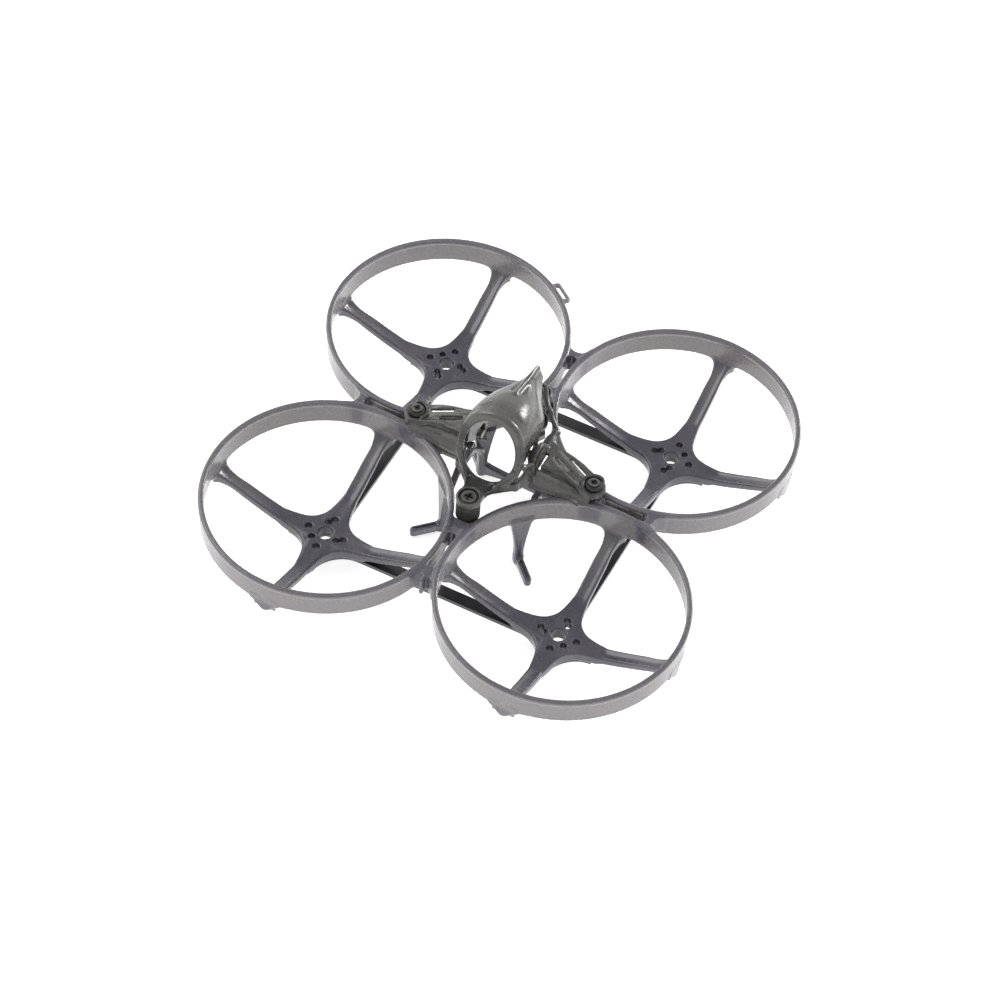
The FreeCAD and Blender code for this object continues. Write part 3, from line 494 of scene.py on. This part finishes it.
def soft_rubber(name, dark, light):
    look = Looks(name)
    colour = look.mix(look.scaled(look.noise(420.0, 4.0), 0.35, 0.7), dark, light)
    # edges lighter: partly wear, partly a painted highlight
    colour = look.mix(look.math("MULTIPLY", look.edge(0.53, 0.68), 0.35), colour, srgb(112, 112, 108))
    look.set(Base_Color=colour, Roughness=look.scaled(look.noise(1500.0), 0.3, 0.7, 0.5, 0.72),
             Specular_IOR_Level=0.4)
    look.bump(look.noise(3200.0, 3.0), 0.25, 0.00008)
    return look.material


def dark_steel(name, dark, light):
    look = Looks(name)
    brushed = look.noise(700.0, 5.0, 0.7)
    colour = look.mix(look.scaled(brushed, 0.3, 0.7), dark, light)
    # edges lighter: partly wear, partly a painted highlight
    colour = look.mix(look.math("MULTIPLY", look.edge(0.54, 0.66), 0.6), colour, srgb(170, 168, 162))
    look.set(Base_Color=colour, Metallic=0.9, Roughness=look.scaled(brushed, 0.3, 0.7, 0.24, 0.42))
    look.bump(look.noise(5000.0, 2.0), 0.15, 0.00003)
    return look.material


# ---- duct frame ---------------------------------------------------------------------------
SPOKE = track((
    (3.0, 2.6, 1.10, -1.25),
    (7.0, 2.2, 1.10, -1.20),
    (11.0, 1.75, 1.10, -0.75),
    (15.5, 1.68, 1.05, 0.70),
    (20.5, 1.66, 1.00, 2.70),
    (25.5, 1.70, 1.05, 4.65),
    (27.3, 2.20, 1.30, 5.40),
    (28.8, 3.20, 1.70, 5.90),
))


def duct_field(u, v, z):
    """One duct around its motor axis, +u and +v pointing away from the craft's middle."""
    radius = np.hypot(u, v) + 1e-6
    far = np.maximum(np.abs(u), np.abs(v))
    near = np.minimum(np.abs(u), np.abs(v))
    dip = FOOT_DROP * np.exp(-(near / 2.1) ** 2) + 0.5 * np.exp(-(near / 5.0) ** 2)
    low = WALL_BOTTOM - dip
    wall = flat_box(radius - WALL_MIDDLE, z - (low + WALL_TOP) / 2, WALL_HALF,
                    (WALL_TOP - low) / 2, 0.28)
    lip = flat_box(radius - (LIP_RADIUS - 0.66), z - (LIP_TOP - 0.62), 0.66, 0.62, 0.38)
    ring = join(wall, lip, 0.3)
    # a spoke is a flat bar with a shallow valley along its top
    rise = z - along(SPOKE, far, 3)
    half_width = along(SPOKE, far, 1)
    half_height = along(SPOKE, far, 2)
    arm = flat_box(near, rise, half_width, half_height, 0.45)
    valley_depth = 0.55 + 0.24 * np.clip((far - 8.0) / 6.0, 0.0, 1.0)
    valley = ellipse(near, rise - half_height - 0.55, 1.35, valley_depth)
    arm = cut(arm, valley, 0.3)
    arm = meet(arm, far - WALL_MIDDLE, 0.3)
    seat = (np.abs(u * v) - 17.5) / radius
    seat = meet(seat, np.abs(z - SEAT_BOTTOM / 2) + SEAT_BOTTOM / 2, 0.55)
    seat = meet(seat, far - SEAT_REACH, 1.5)
    body = join(join(ring, arm, 1.1), seat, 0.9)
    holes = radius - MOTOR_BORE
    holes = np.minimum(holes, np.hypot(far - CROSS_HOLES[0], near) - CROSS_HOLES[1])
    for k in range(3):
        angle = math.radians(45 + 120 * k)
        du = u - SMALL_HOLES[0] * math.cos(angle)
        dv = v - SMALL_HOLES[0] * math.sin(angle)
        holes = np.minimum(holes, np.hypot(du, dv) - SMALL_HOLES[1])
    return cut(body, holes, 0.15)


def bridge_field(side, out, z, front):
    """Web between two ducts: side is across it, out is away from the middle of the craft."""
    gap = np.hypot(np.abs(side) - HUB, out - HUB)
    start, end = BRIDGE_ENDS
    end = end + FRONT_EXTRA * front
    web = meet(slab(z, *BRIDGE_HEIGHTS), WALL_MIDDLE - gap, 0.05)
    web = meet(web, np.abs(side) - BRIDGE_HALF_WIDTH, 0.5)
    web = meet(web, slab(out, start, end + 2.0), 0.4)
    hollow = np.hypot(side, out - end - WEB_HOLLOW) - WEB_HOLLOW
    web = cut(web, hollow, 0.35)
    slot, _ = segment(side, out, 0.0, BRIDGE_SLOT[0], 0.0, BRIDGE_SLOT[1])
    web = cut(web, slot - BRIDGE_SLOT[2], 0.3)
    rib = flat_box(side, out - 39.4, 0.45, 1.5, 0.3)
    rib = meet(rib, slab(z, 8.2, 13.1), 0.3)
    web = np.where(front > 0, join(web, rib, 0.5), web)
    sloped, _ = segment(out, z, FC_RADIUS + 1.6, 7.9, 23.4, 12.0)
    arm = meet(sloped - 0.85, np.abs(side) - 1.5, 0.4)
    ring = np.hypot(side, out - FC_RADIUS)
    eyelet = meet(ring - EYELET[2], slab(z, EYELET[0], EYELET[1]), 0.4)
    body = join(join(web, arm, 1.0), eyelet, 0.6)
    body = cut(body, np.maximum(ring - DAMPER_SEAT, EYELET[1] - z), 0.1)
    return cut(body, ring - EYELET_BORE, 0.2)


def cage_field(x, y, z, ax, ay):
    """Battery cage: four posts with hooks, two arched side webs and the rear stop."""
    outward = (ax + ay) / math.sqrt(2) - POST_OFFSET * math.sqrt(2)
    across = (ax - ay) / math.sqrt(2)
    widening = 1.1 + 1.6 * np.clip((z + 3.0) / 10.5, 0.0, 1.0) ** 1.3
    post = flat_box(outward, across, 1.05, widening, 0.5)
    post = meet(post, slab(z, POST_BOTTOM, 8.2), 0.5)
    bar, _ = segment(outward, across, 0.0, 0.0, 7.3, 0.0)
    bar = meet(bar - 0.85, slab(z, POST_BOTTOM, HOOK_TOP), 0.4)
    groove, _ = segment(outward, across, 2.1, 0.0, 6.7, 0.0)
    bar = cut(bar, np.maximum(groove - 0.3, HOOK_TOP - 0.5 - z), 0.15)
    body = join(post, bar, 0.8)
    # side webs stand in the planes of the posts
    reach = 10.2 - 7.2 * np.clip((z - 1.0) / 7.3, 0.0, 1.0)
    arch = ellipse(ay, np.maximum(z + 4.0, 0.0), 9.3, 10.4)
    side = meet(np.abs(ax - POST_OFFSET) - 0.8, ay - reach, 0.5)
    side = meet(side, slab(z, POST_BOTTOM, 8.3), 0.4)
    side = cut(side, arch, 0.5)
    tie = meet(flat_box(ay, z - 7.6, 1.2, 0.7, 0.3), slab(ax, 9.2, FC_RADIUS - 1.4), 0.4)
    body = join(join(body, side, 0.6), tie, 0.7)
    bow = 0.019 * (POST_OFFSET ** 2 - x * x)
    stop = meet(np.abs(y - POST_OFFSET) - 0.8, slab(z, POST_BOTTOM, -3.6 - 0.6 * bow), 0.4)
    stop = cut(stop, z - POST_BOTTOM - 0.7 * bow, 0.4)
    stop = meet(stop, ax - POST_OFFSET, 0.3)
    return join(body, stop, 0.6)


def loop_field(x, y, z):
    """Wire loop on the outside of the rear left duct."""
    angle = math.radians(52.7)
    u = x + HUB
    v = y - HUB
    out = u * math.cos(angle) + v * math.sin(angle)
    side = v * math.cos(angle) - u * math.sin(angle)
    plate = flat_box(side, out - 29.0, 3.3, 2.1, 0.9)
    plate = cut(plate, flat_box(side, out - 29.9, 2.2, 0.45, 0.4), 0.15)
    plate = meet(plate, slab(z, 11.9, 12.9), 0.3)
    return meet(plate, 28.2 - np.hypot(u, v), 0.2)


def frame_field(x, y, z):
    ax = np.abs(x)
    ay = np.abs(y)
    body = duct_field(ax - HUB, ay - HUB, z)
    body = join(body, bridge_field(ax, ay, z, (y < 0) * 1.0), 0.7)
    body = join(body, bridge_field(ay, ax, z, np.zeros_like(y)), 0.7)
    body = join(body, cage_field(x, y, z, ax, ay), 0.9)
    body = join(body, loop_field(x, y, z), 0.4)
    screw = np.hypot(ax - WING_TIP[0], ay) - TIP_SCREW_HOLE
    return cut(body, screw, 0.1)


# ---- canopy -------------------------------------------------------------------------------
# The hood is drawn square to its mouth: w runs back from the mouth, v runs up along it.
LEAN = math.radians(18.4)
MOUTH = (-8.85, 25.0, 6.4, 8.3)             # y, z, half width, half height
HOOD = track((
    # w, half width, middle, half height, power of the arch
    (-2.0, 7.9, 0.0, 8.9, 2.2),
    (0.0, 8.05, 0.0, 9.15, 2.25),
    (4.0, 8.3, 0.4, 10.1, 2.3),
    (8.0, 8.4, 0.5, 10.4, 2.15),
    (12.0, 8.1, 0.7, 10.2, 1.88),
    (15.0, 7.0, 1.6, 9.8, 1.50),
    (17.0, 5.6, 3.0, 8.9, 1.26),
    (19.0, 4.0, 4.7, 7.6, 1.12),
    (22.0, 2.4, 6.8, 5.7, 1.08),
    (26.0, 0.8, 10.0, 2.4, 1.2),
))
HOOD_SKIN = 0.85
MOUTH_DROP = -0.5                           # the opening sits low in the rim
HOOD_END = 26.8
SPINE = ((9.6, 10.8), (26.2, 12.6))         # w and v at the two ends of the ridge on the crest
CREST_HOLLOW = ((1.25, 10.8, 11.0), (1.15, 14.4, 11.6))     # groove on each side of the ridge
FLANK = 6.9                                 # half width over the sunk side walls
FLANK_CREASE = ((1.0, 4.0, 8.0, 12.0, 14.0), (2.6, 5.0, 5.7, 4.9, 4.3))
REAR_EDGE = ((12.6, 13.4, 16.3, 20.0, 22.4, 26.0), (-9.0, 1.4, 4.6, 6.2, 8.4, 11.8))
EYE = (4.95, -1.8, 24.0, 1.5)               # x, y, lowest z and radius of the round pads
EYE_HEIGHT = 0.16
RIM_DEPTH = 0.95


def lean_back(y, z):
    dy = y - MOUTH[0]
    dz = z - MOUTH[1]
    return dy * math.cos(LEAN) - dz * math.sin(LEAN), dy * math.sin(LEAN) + dz * math.cos(LEAN)


def hood_field(x, y, z, ax):
    w, v = lean_back(y, z)
    middle = along(HOOD, w, 2)
    half_x = along(HOOD, w, 1)
    half_z = along(HOOD, w, 3)
    power = np.where(v > middle, along(HOOD, w, 4), 2.0)
    outer = gothic(x, v - middle, half_x, half_z, power)
    outer = meet(outer, w - HOOD_END, 0.6)
    outer = meet(outer, -w, 1.3)
    # the side walls are sunk behind the rim, up to a crease along the flank
    sunk = np.maximum(np.maximum(FLANK - ax, 2.5 - 0.27 * v - w), v - np.interp(w, *FLANK_CREASE))
    outer = cut(outer, sunk, 0.6)
    gap, t = segment(w, v, *SPINE[0], *SPINE[1])
    outer = join(outer, np.hypot(gap, ax) - 0.36 + 0.06 * t, 1.1)
    hollow = rod(ax, w, v, *CREST_HOLLOW, 0.35, 0.25)
    outer = cut(outer, hollow, 0.8)
    pad = np.hypot(ax - EYE[0], y - EYE[1]) - EYE[3]
    raised = np.maximum(np.maximum(pad, EYE[2] - z), outer - EYE_HEIGHT)
    outer = join(outer, raised, 0.12)
    skin = np.maximum(outer, -outer - HOOD_SKIN)
    # flat rim round the mouth
    opening = ellipse(x, v - MOUTH_DROP, MOUTH[2], MOUTH[3] + MOUTH_DROP / 2)
    rim = meet(outer, slab(w, 0.0, RIM_DEPTH), 0.3)
    # below the bush the walls are open behind the rim
    skin = cut(skin, np.maximum(v + 1.2 + 0.42 * (w - 1.0), 1.0 - w), 0.5)
    skin = join(skin, cut(rim, opening, 0.3), 0.5)
    skin = meet(skin, -w, 0.3)
    skin = cut(skin, np.maximum(opening, w - 1.5), 0.35)
    # open rear, below the crest
    rear = np.maximum(REAR_EDGE[0][0] - w, v - np.interp(w, *REAR_EDGE))
    return cut(skin, rear, 0.6)


def chin_field(ax, y, z):
    """Plate from the foot of the mouth to the front boss."""
    width = 2.7 + 2.0 * np.clip((y + 15.6) / 4.0, 0.0, 1.0) ** 1.6
    plate = meet(ax - width, slab(y, -19.0, -10.9), 0.4)
    top = 18.3 - 0.9 * np.clip((y + 16.0) / 4.0, 0.0, 1.0)
    return meet(plate, np.maximum(16.2 - z, z - top), 0.4)


APRON = ((2.6, -12.9), (7.4, -9.0), (9.1, -5.0))        # plan of the lower side wall, front to rear
APRON_TOPS = (17.3, 22.8, 21.8)
APRON_FOOTS = ((15.8, 15.7), (15.7, 14.8))
APRON_WINDOW = ((4.5, 17.6), (7.3, 22.6), (8.6, 19.6))  # corners: distance along the wall, height


def apron_field(ax, y, z):
    """Lower side wall from the chin to the wing, up to the rim, and its three-cornered window."""
    panels = []
    travelled = 0.0
    for i, (start, end) in enumerate(zip(APRON, APRON[1:])):
        gap, t = segment(ax, y, *start, *end)
        high = APRON_TOPS[i] + (APRON_TOPS[i + 1] - APRON_TOPS[i]) * t ** 1.3
        low = APRON_FOOTS[i][0] + (APRON_FOOTS[i][1] - APRON_FOOTS[i][0]) * t
        panel = meet(gap - 0.5, np.maximum(low - z, z - high), 0.4)
        length = math.hypot(end[0] - start[0], end[1] - start[1])
        panels.append((panel, gap, travelled + t * length))
        travelled += length
    (front, front_gap, front_run), (rear, rear_gap, rear_run) = panels
    sheet = join(front, rear, 0.5)
    run = np.where(rear_gap < front_gap, rear_run, front_run)
    nearest = np.minimum(rear_gap, front_gap)
    sides = []
    for a, b in zip(APRON_WINDOW, APRON_WINDOW[1:] + APRON_WINDOW[:1]):
        edge = math.hypot(b[0] - a[0], b[1] - a[1])
        sides.append(((run - a[0]) * (a[1] - b[1]) + (z - a[1]) * (b[0] - a[0])) / edge)
    window = meet(meet(sides[0], sides[1], 0.7), sides[2], 0.7)
    return sheet, np.maximum(window, nearest - 1.6)


# x, crease y, rear y, top z, skirt foot y, skirt foot z
WING_ROWS = (
    (8.0, -2.7, 6.4, 19.2, -5.4, 14.4),
    (11.0, -2.2, 5.4, 18.8, -4.7, 13.2),
    (15.0, -1.6, 4.8, 18.1, -3.9, 12.6),
    (18.5, -2.0, 4.2, 17.4, -3.7, 13.3),
    (21.0, -2.6, 3.5, 16.9, -4.4, 13.6),
    (23.4, -3.0, 2.8, 16.6, -4.9, 13.7),
)
SLITS = ((12.4, 1.9, 16.6, 0.4), (15.3, 3.5, 19.5, 1.9))        # x and y of each slit's two ends
SLIT_HALF_WIDTH = 0.5
WING_INNER = 7.6
WING_OUTER = 24.2
WING_THICKNESS = 0.8
LOBE = (21.2, 2.2)                          # where the skirt's rounded tip starts, and its radius
TIP_BOSS = 2.9
TIP_HEAD_SEAT = 2.1
TIP_FOOT_SEAT = 2.05
TIP_BORE = 1.46


def wing_track(column):
    return np.array([row[column] for row in WING_ROWS], dtype=float)


def wing_field(ax, y, z):
    stations = wing_track(0)
    crease, rear, top, foot_y, foot_z = (np.interp(ax, stations, wing_track(c)) for c in range(1, 6))
    # shallow louvres between the slits
    louvre = 0.22 * np.sin((y + 0.38 * (ax - 12.0) + 0.4) * 2.1)
    louvre = louvre * np.clip((ax - 11.0) / 2.0, 0.0, 1.0) * np.clip((20.5 - ax) / 2.0, 0.0, 1.0)
    plate = meet(np.maximum(crease - y, y - rear), slab(ax, WING_INNER, WING_OUTER), 0.3)
    plate = meet(plate, slab(z - louvre, top - WING_THICKNESS, top), 0.3)
    reach = np.hypot(crease - foot_y, top - foot_z)
    down = ((y - crease) * (foot_y - crease) + (z - top) * (foot_z - top)) / reach
    off = ((y - crease) * (foot_z - top) - (z - top) * (foot_y - crease)) / reach
    swell = 0.5 * np.sin(np.clip(down / reach, 0.0, 1.0) * math.pi)
    skirt = meet(np.abs(off + 0.45 + swell) - 0.45, slab(down, -0.2, reach), 0.35)
    beyond = np.maximum(ax - LOBE[0], 0.0)
    below = np.maximum(down - reach + LOBE[1], 0.0)
    skirt = meet(skirt, np.hypot(beyond, below) - LOBE[1], 0.3)
    skirt = meet(skirt, 8.0 - ax, 0.4)
    body = join(plate, skirt, 0.9)
    lip, _ = segment(down, off, reach - 0.3, -0.55, reach, -0.2)
    body = join(body, meet(lip - 0.5, slab(ax, 8.6, LOBE[0]), 0.4), 0.3)
    for x0, y0, x1, y1 in SLITS:
        slit, _ = segment(ax, y, x0, y0, x1, y1)
        body = cut(body, np.maximum(slit - SLIT_HALF_WIDTH, top - 2.5 - z), 0.15)
    # seat for the grommet: a raised half wall on the side of the hood
    tip = np.hypot(ax - WING_TIP[0], y)
    boss = meet(tip - TIP_BOSS, slab(z, WING_TIP[1] - 1.6, WING_TIP[1]), 0.4)
    wall = meet(np.abs(tip - 2.6) - 0.45, slab(z, WING_TIP[1] - 1.0, WING_TIP[1] + 1.0), 0.3)
    wall = meet(wall, (ax - WING_TIP[0]) * 0.8 - (y - 0.4) * 0.6, 0.5)
    body = join(join(body, boss, 0.6), wall, 0.4)
    body = cut(body, np.maximum(tip - TIP_HEAD_SEAT, WING_TIP[1] - z), 0.12)
    body = cut(body, np.maximum(tip - TIP_FOOT_SEAT, z - WING_TIP[1] + 1.6), 0.12)
    return cut(body, tip - TIP_BORE, 0.1)


def end_field(x, ax, y, z, side):
    centre = side * FC_RADIUS
    ring = np.hypot(x, y - centre)
    body = meet(ring - END_BOSS[2], slab(z, END_BOSS[0], END_BOSS[1]), 0.4)
    if side > 0:
        arm = rod(ax, y, z, (0.8, centre - 1.8, 17.8), (5.4, 12.0, 20.4), 1.0, 0.95)
        body = join(body, arm, 1.2)
    body = cut(body, np.maximum(ring - END_SEAT[1], END_SEAT[0] - z), 0.15)
    return cut(body, ring - END_BORE, 0.1)


STRAP = ((0.3, 16.6, 29.6), (0.9, 17.2, 26.4), (1.4, 17.2, 23.4), (3.0, 14.8, 21.3), (5.2, 12.0, 20.7),
         (9.2, 9.0, 18.4))
STRAP_RADIUS = 0.62
SIDE_WALL_HALF = 0.6


def canopy_field(x, y, z):
    ax = np.abs(x)
    body = hood_field(x, y, z, ax)
    body = join(body, chin_field(ax, y, z), 0.7)
    for start, end in zip(STRAP, STRAP[1:]):
        body = join(body, rod(ax, y, z, start, end, STRAP_RADIUS, STRAP_RADIUS), 0.4)
    body = join(body, wing_field(ax, y, z), 0.8)
    apron, window = apron_field(ax, y, z)
    body = join(body, apron, 0.7)
    wall = np.abs(ax - PIVOT[0]) - SIDE_WALL_HALF
    rail = meet(wall, slab(y, -5.6, 8.6), 0.3)
    rail = meet(rail, slab(z, 17.0, 19.6), 0.3)
    axle = np.hypot(y - PIVOT[1], z - PIVOT[2])
    lug = meet(wall, axle - 3.6, 0.3)
    web = meet(slab(ax, 6.4, 9.0), slab(y, -4.5, 4.2), 0.3)
    web = meet(web, slab(z, 17.2, 18.0), 0.3)
    body = join(join(join(body, rail, 0.8), web, 0.5), lug, 0.9)
    body = cut(body, window, 0.35)
    for side in (-1, 1):
        body = join(body, end_field(x, ax, y, z, side), 0.6)
        seat = np.hypot(x, y - side * FC_RADIUS)
        body = cut(body, np.maximum(seat - END_SEAT[1], END_SEAT[0] - z), 0.12)
        body = cut(body, np.maximum(seat - END_BOSS[2] - 0.05, z - END_BOSS[0]), 0.12)
        body = cut(body, seat - END_BORE, 0.1)
    outside = np.maximum(PIVOT[0] + SIDE_WALL_HALF - ax, ax - 10.4)
    inside = np.maximum(ax - PIVOT[0] + SIDE_WALL_HALF, 5.0 - ax)
    body = cut(body, np.maximum(axle - BUSH_SEAT, outside), 0.1)
    body = cut(body, np.maximum(axle - BUSH_SEAT, inside), 0.1)
    return cut(body, np.maximum(axle - BUSH_BORE, np.maximum(5.0 - ax, ax - 10.0)), 0.05)


# ---- soft mounts and fasteners ------------------------------------------------------------
MARGIN = 0.3                                # free space round a turned piece when it is meshed
SMALL_VOXEL = 0.16


def lathe_field(rows, bore, centre, axis):
    """Turned solid: each row is low, high, radius and rounding; the bore cuts through."""
    def field(x, y, z):
        if axis == "z":
            radius = np.hypot(x - centre[0], y - centre[1])
            run = z
        else:
            radius = np.hypot(y - centre[1], z - centre[2])
            run = np.abs(x)
        body = None
        for low, high, outer, rounding in rows:
            part = flat_box(radius, run - (low + high) / 2, outer, (high - low) / 2, rounding)
            body = part if body is None else join(body, part, 0.12)
        return cut(body, radius - bore, 0.12)
    return field


def make_lathe(name, node, rows, bore, centre, material, axis="z"):
    field = lathe_field(rows, bore, centre, axis)
    outer = max(row[2] for row in rows) + MARGIN
    low = min(row[0] for row in rows) - MARGIN
    high = max(row[1] for row in rows) + MARGIN
    if axis == "z":
        lowest = (centre[0] - outer, centre[1] - outer, low)
        highest = (centre[0] + outer, centre[1] + outer, high)
    else:
        start, end = (low, high) if centre[0] > 0 else (-high, -low)
        lowest = (start, centre[1] - outer, centre[2] - outer)
        highest = (end, centre[1] + outer, centre[2] + outer)
    sculpt(name, node, field, lowest, highest, SMALL_VOXEL, material)


# ---- build --------------------------------------------------------------------------------
nylon = frame_nylon()
plastic = canopy_plastic()
carbon = carbon_plate()
rubber = soft_rubber("mount_rubber", srgb(34, 35, 32), srgb(56, 56, 51))
bush = soft_rubber("bush_rubber", srgb(58, 58, 44), srgb(88, 88, 68))
steel = dark_steel("screw_steel", srgb(46, 46, 45), srgb(74, 74, 71))
pin_steel = dark_steel("pivot_steel", srgb(96, 96, 94), srgb(140, 139, 134))

voxel = 0.38
reach = HUB + LIP_RADIUS + 1.0
sculpt("frame_moulding", "duct_frame", frame_field, (-reach, -reach, POST_BOTTOM - 0.7),
       (reach, reach, LIP_TOP + 0.7), voxel, nylon)
sculpt("canopy_moulding", "canopy_shell", canopy_field, (-27.5, -22.0, 9.4), (27.5, 22.0, 36.0),
       voxel * 0.7, plastic)

for side, place in ((-1, "front"), (1, "rear")):
    make_lathe("end_grommet_" + place, "canopy_grommet_" + place,
               ((11.5, 16.98, 2.8, 1.1), (16.8, 17.8, 1.78, 0.1), (17.6, 18.3, 2.28, 0.3)), 1.0,
               (0.0, side * FC_RADIUS, 0.0), rubber)
for side, place in ((-1, "left"), (1, "right")):
    make_lathe("tip_grommet_" + place, "canopy_grommet_" + place,
               ((13.2, 14.5, 1.3, 0.3), (14.2, 15.1, 1.95, 0.35), (15.0, 16.9, 1.44, 0.1),
                (16.7, 17.65, 2.05, 0.7)), 0.72, (side * WING_TIP[0], 0.0, 0.0), rubber)
for place, x, y in (("rear", 0, 1), ("left", -1, 0), ("front", 0, -1), ("right", 1, 0)):
    make_lathe("board_damper_" + place, "fc_damper_" + place,
               ((4.8, 7.0, 1.85, 0.5), (6.8, 8.6, 1.4, 0.1), (8.4, 9.0, 1.85, 0.28)), 1.0,
               (x * FC_RADIUS, y * FC_RADIUS, 0.0), rubber)
for side, place in ((-1, "left"), (1, "right")):
    make_lathe("side_bush_" + place, "camera_bush_" + place,
               ((7.2, 8.0, 2.46, 0.3), (7.8, 9.4, 1.98, 0.1), (9.2, 9.6, 2.46, 0.18)), 1.16,
               (side * PIVOT[0], PIVOT[1], PIVOT[2]), bush, axis="x")

MATERIALS = {"carbon_brace": carbon, "post_screws": steel, "tip_screws": steel, "post_nuts": steel,
             "camera_pivot_left": pin_steel, "camera_pivot_right": pin_steel}
for node, material in MATERIALS.items():
    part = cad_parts[node]
    part.data.materials.clear()
    part.data.materials.append(material)
    edge = part.modifiers.new("edge", "BEVEL")
    edge.width = 0.00012
    edge.segments = 2
    edge.limit_method = "ANGLE"

# ---- floor, light and camera --------------------------------------------------------------
floor_mesh = bpy.data.meshes.new("floor")
FLOOR_HALF = 3.0
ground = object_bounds()[0][2] - 0.00005
corners = [(x * FLOOR_HALF, y * FLOOR_HALF, ground) for x, y in ((-1, -1), (1, -1), (1, 1), (-1, 1))]
floor_mesh.from_pydata(corners, [], [(0, 1, 2, 3)])
floor = bpy.data.objects.new("floor", floor_mesh)
bpy.context.scene.collection.objects.link(floor)
backing = Looks("floor")
paper = backing.mix(backing.noise(3.0), (0.93, 0.93, 0.93, 1.0), (0.95, 0.95, 0.95, 1.0))
backing.set(Base_Color=paper, Roughness=0.8, Specular_IOR_Level=0.1,
            Emission_Color=(1.0, 1.0, 1.0, 1.0), Emission_Strength=0.62)
floor_mesh.materials.append(backing.material)

world = bpy.data.worlds.new("studio")
world.use_nodes = True
sky = world.node_tree
overhead = sky.nodes.new("ShaderNodeSeparateXYZ")
sky.links.new(sky.nodes.new("ShaderNodeTexCoord").outputs["Generated"], overhead.inputs[0])
ramp = sky.nodes.new("ShaderNodeValToRGB")
SKY = ((0.0, 1.0), (0.25, 1.25), (0.55, 0.75), (0.8, 0.55), (1.0, 0.85))       # height, brightness
while len(ramp.color_ramp.elements) < len(SKY):
    ramp.color_ramp.elements.new(0.5)
for stop, (height, level) in zip(ramp.color_ramp.elements, SKY):
    stop.position = height
    stop.color = (level, level, level * 1.01, 1.0)
sky.links.new(overhead.outputs["Z"], ramp.inputs["Fac"])
sky.links.new(ramp.outputs["Color"], sky.nodes["Background"].inputs["Color"])
bpy.context.scene.world = world


def soft_light(name, place, width, power):
    """Round lamp aimed at the middle of the craft."""
    data = bpy.data.lights.new(name, "AREA")
    data.shape = "DISK"
    data.size = width
    data.energy = power
    lamp = bpy.data.objects.new(name, data)
    bpy.context.scene.collection.objects.link(lamp)
    turned = (-Vector(place)).to_track_quat("-Z", "Y").to_matrix().to_4x4()
    lamp.matrix_world = Matrix.Translation(place) @ turned


soft_light("key", (-0.45, 0.1, 0.5), 0.5, 1.6)
soft_light("rim", (0.25, 0.5, 0.22), 0.2, 1.6)

camera_data = bpy.data.cameras.new("camera")
camera_data.sensor_width = 36.0
camera_data.lens = 118.55
camera_data.clip_end = 10.0
camera = bpy.data.objects.new("camera", camera_data)
bpy.context.scene.collection.objects.link(camera)
turn = math.radians(23.508)
lift = math.radians(50.40)
roll = math.radians(4.602)
eye_point = Vector((0.195847, -0.450493, 0.591894))
back = Vector((math.sin(turn) * math.cos(lift), -math.cos(turn) * math.cos(lift), math.sin(lift)))
level_right = Vector((math.cos(turn), math.sin(turn), 0.0))
level_up = back.cross(level_right)
right = level_right * math.cos(roll) + level_up * math.sin(roll)
up = back.cross(right)
camera.matrix_world = Matrix.Translation(eye_point) @ Matrix((right, up, back)).transposed().to_4x4()
bpy.context.scene.camera = camera
bpy.context.scene.view_settings.view_transform = "Standard"
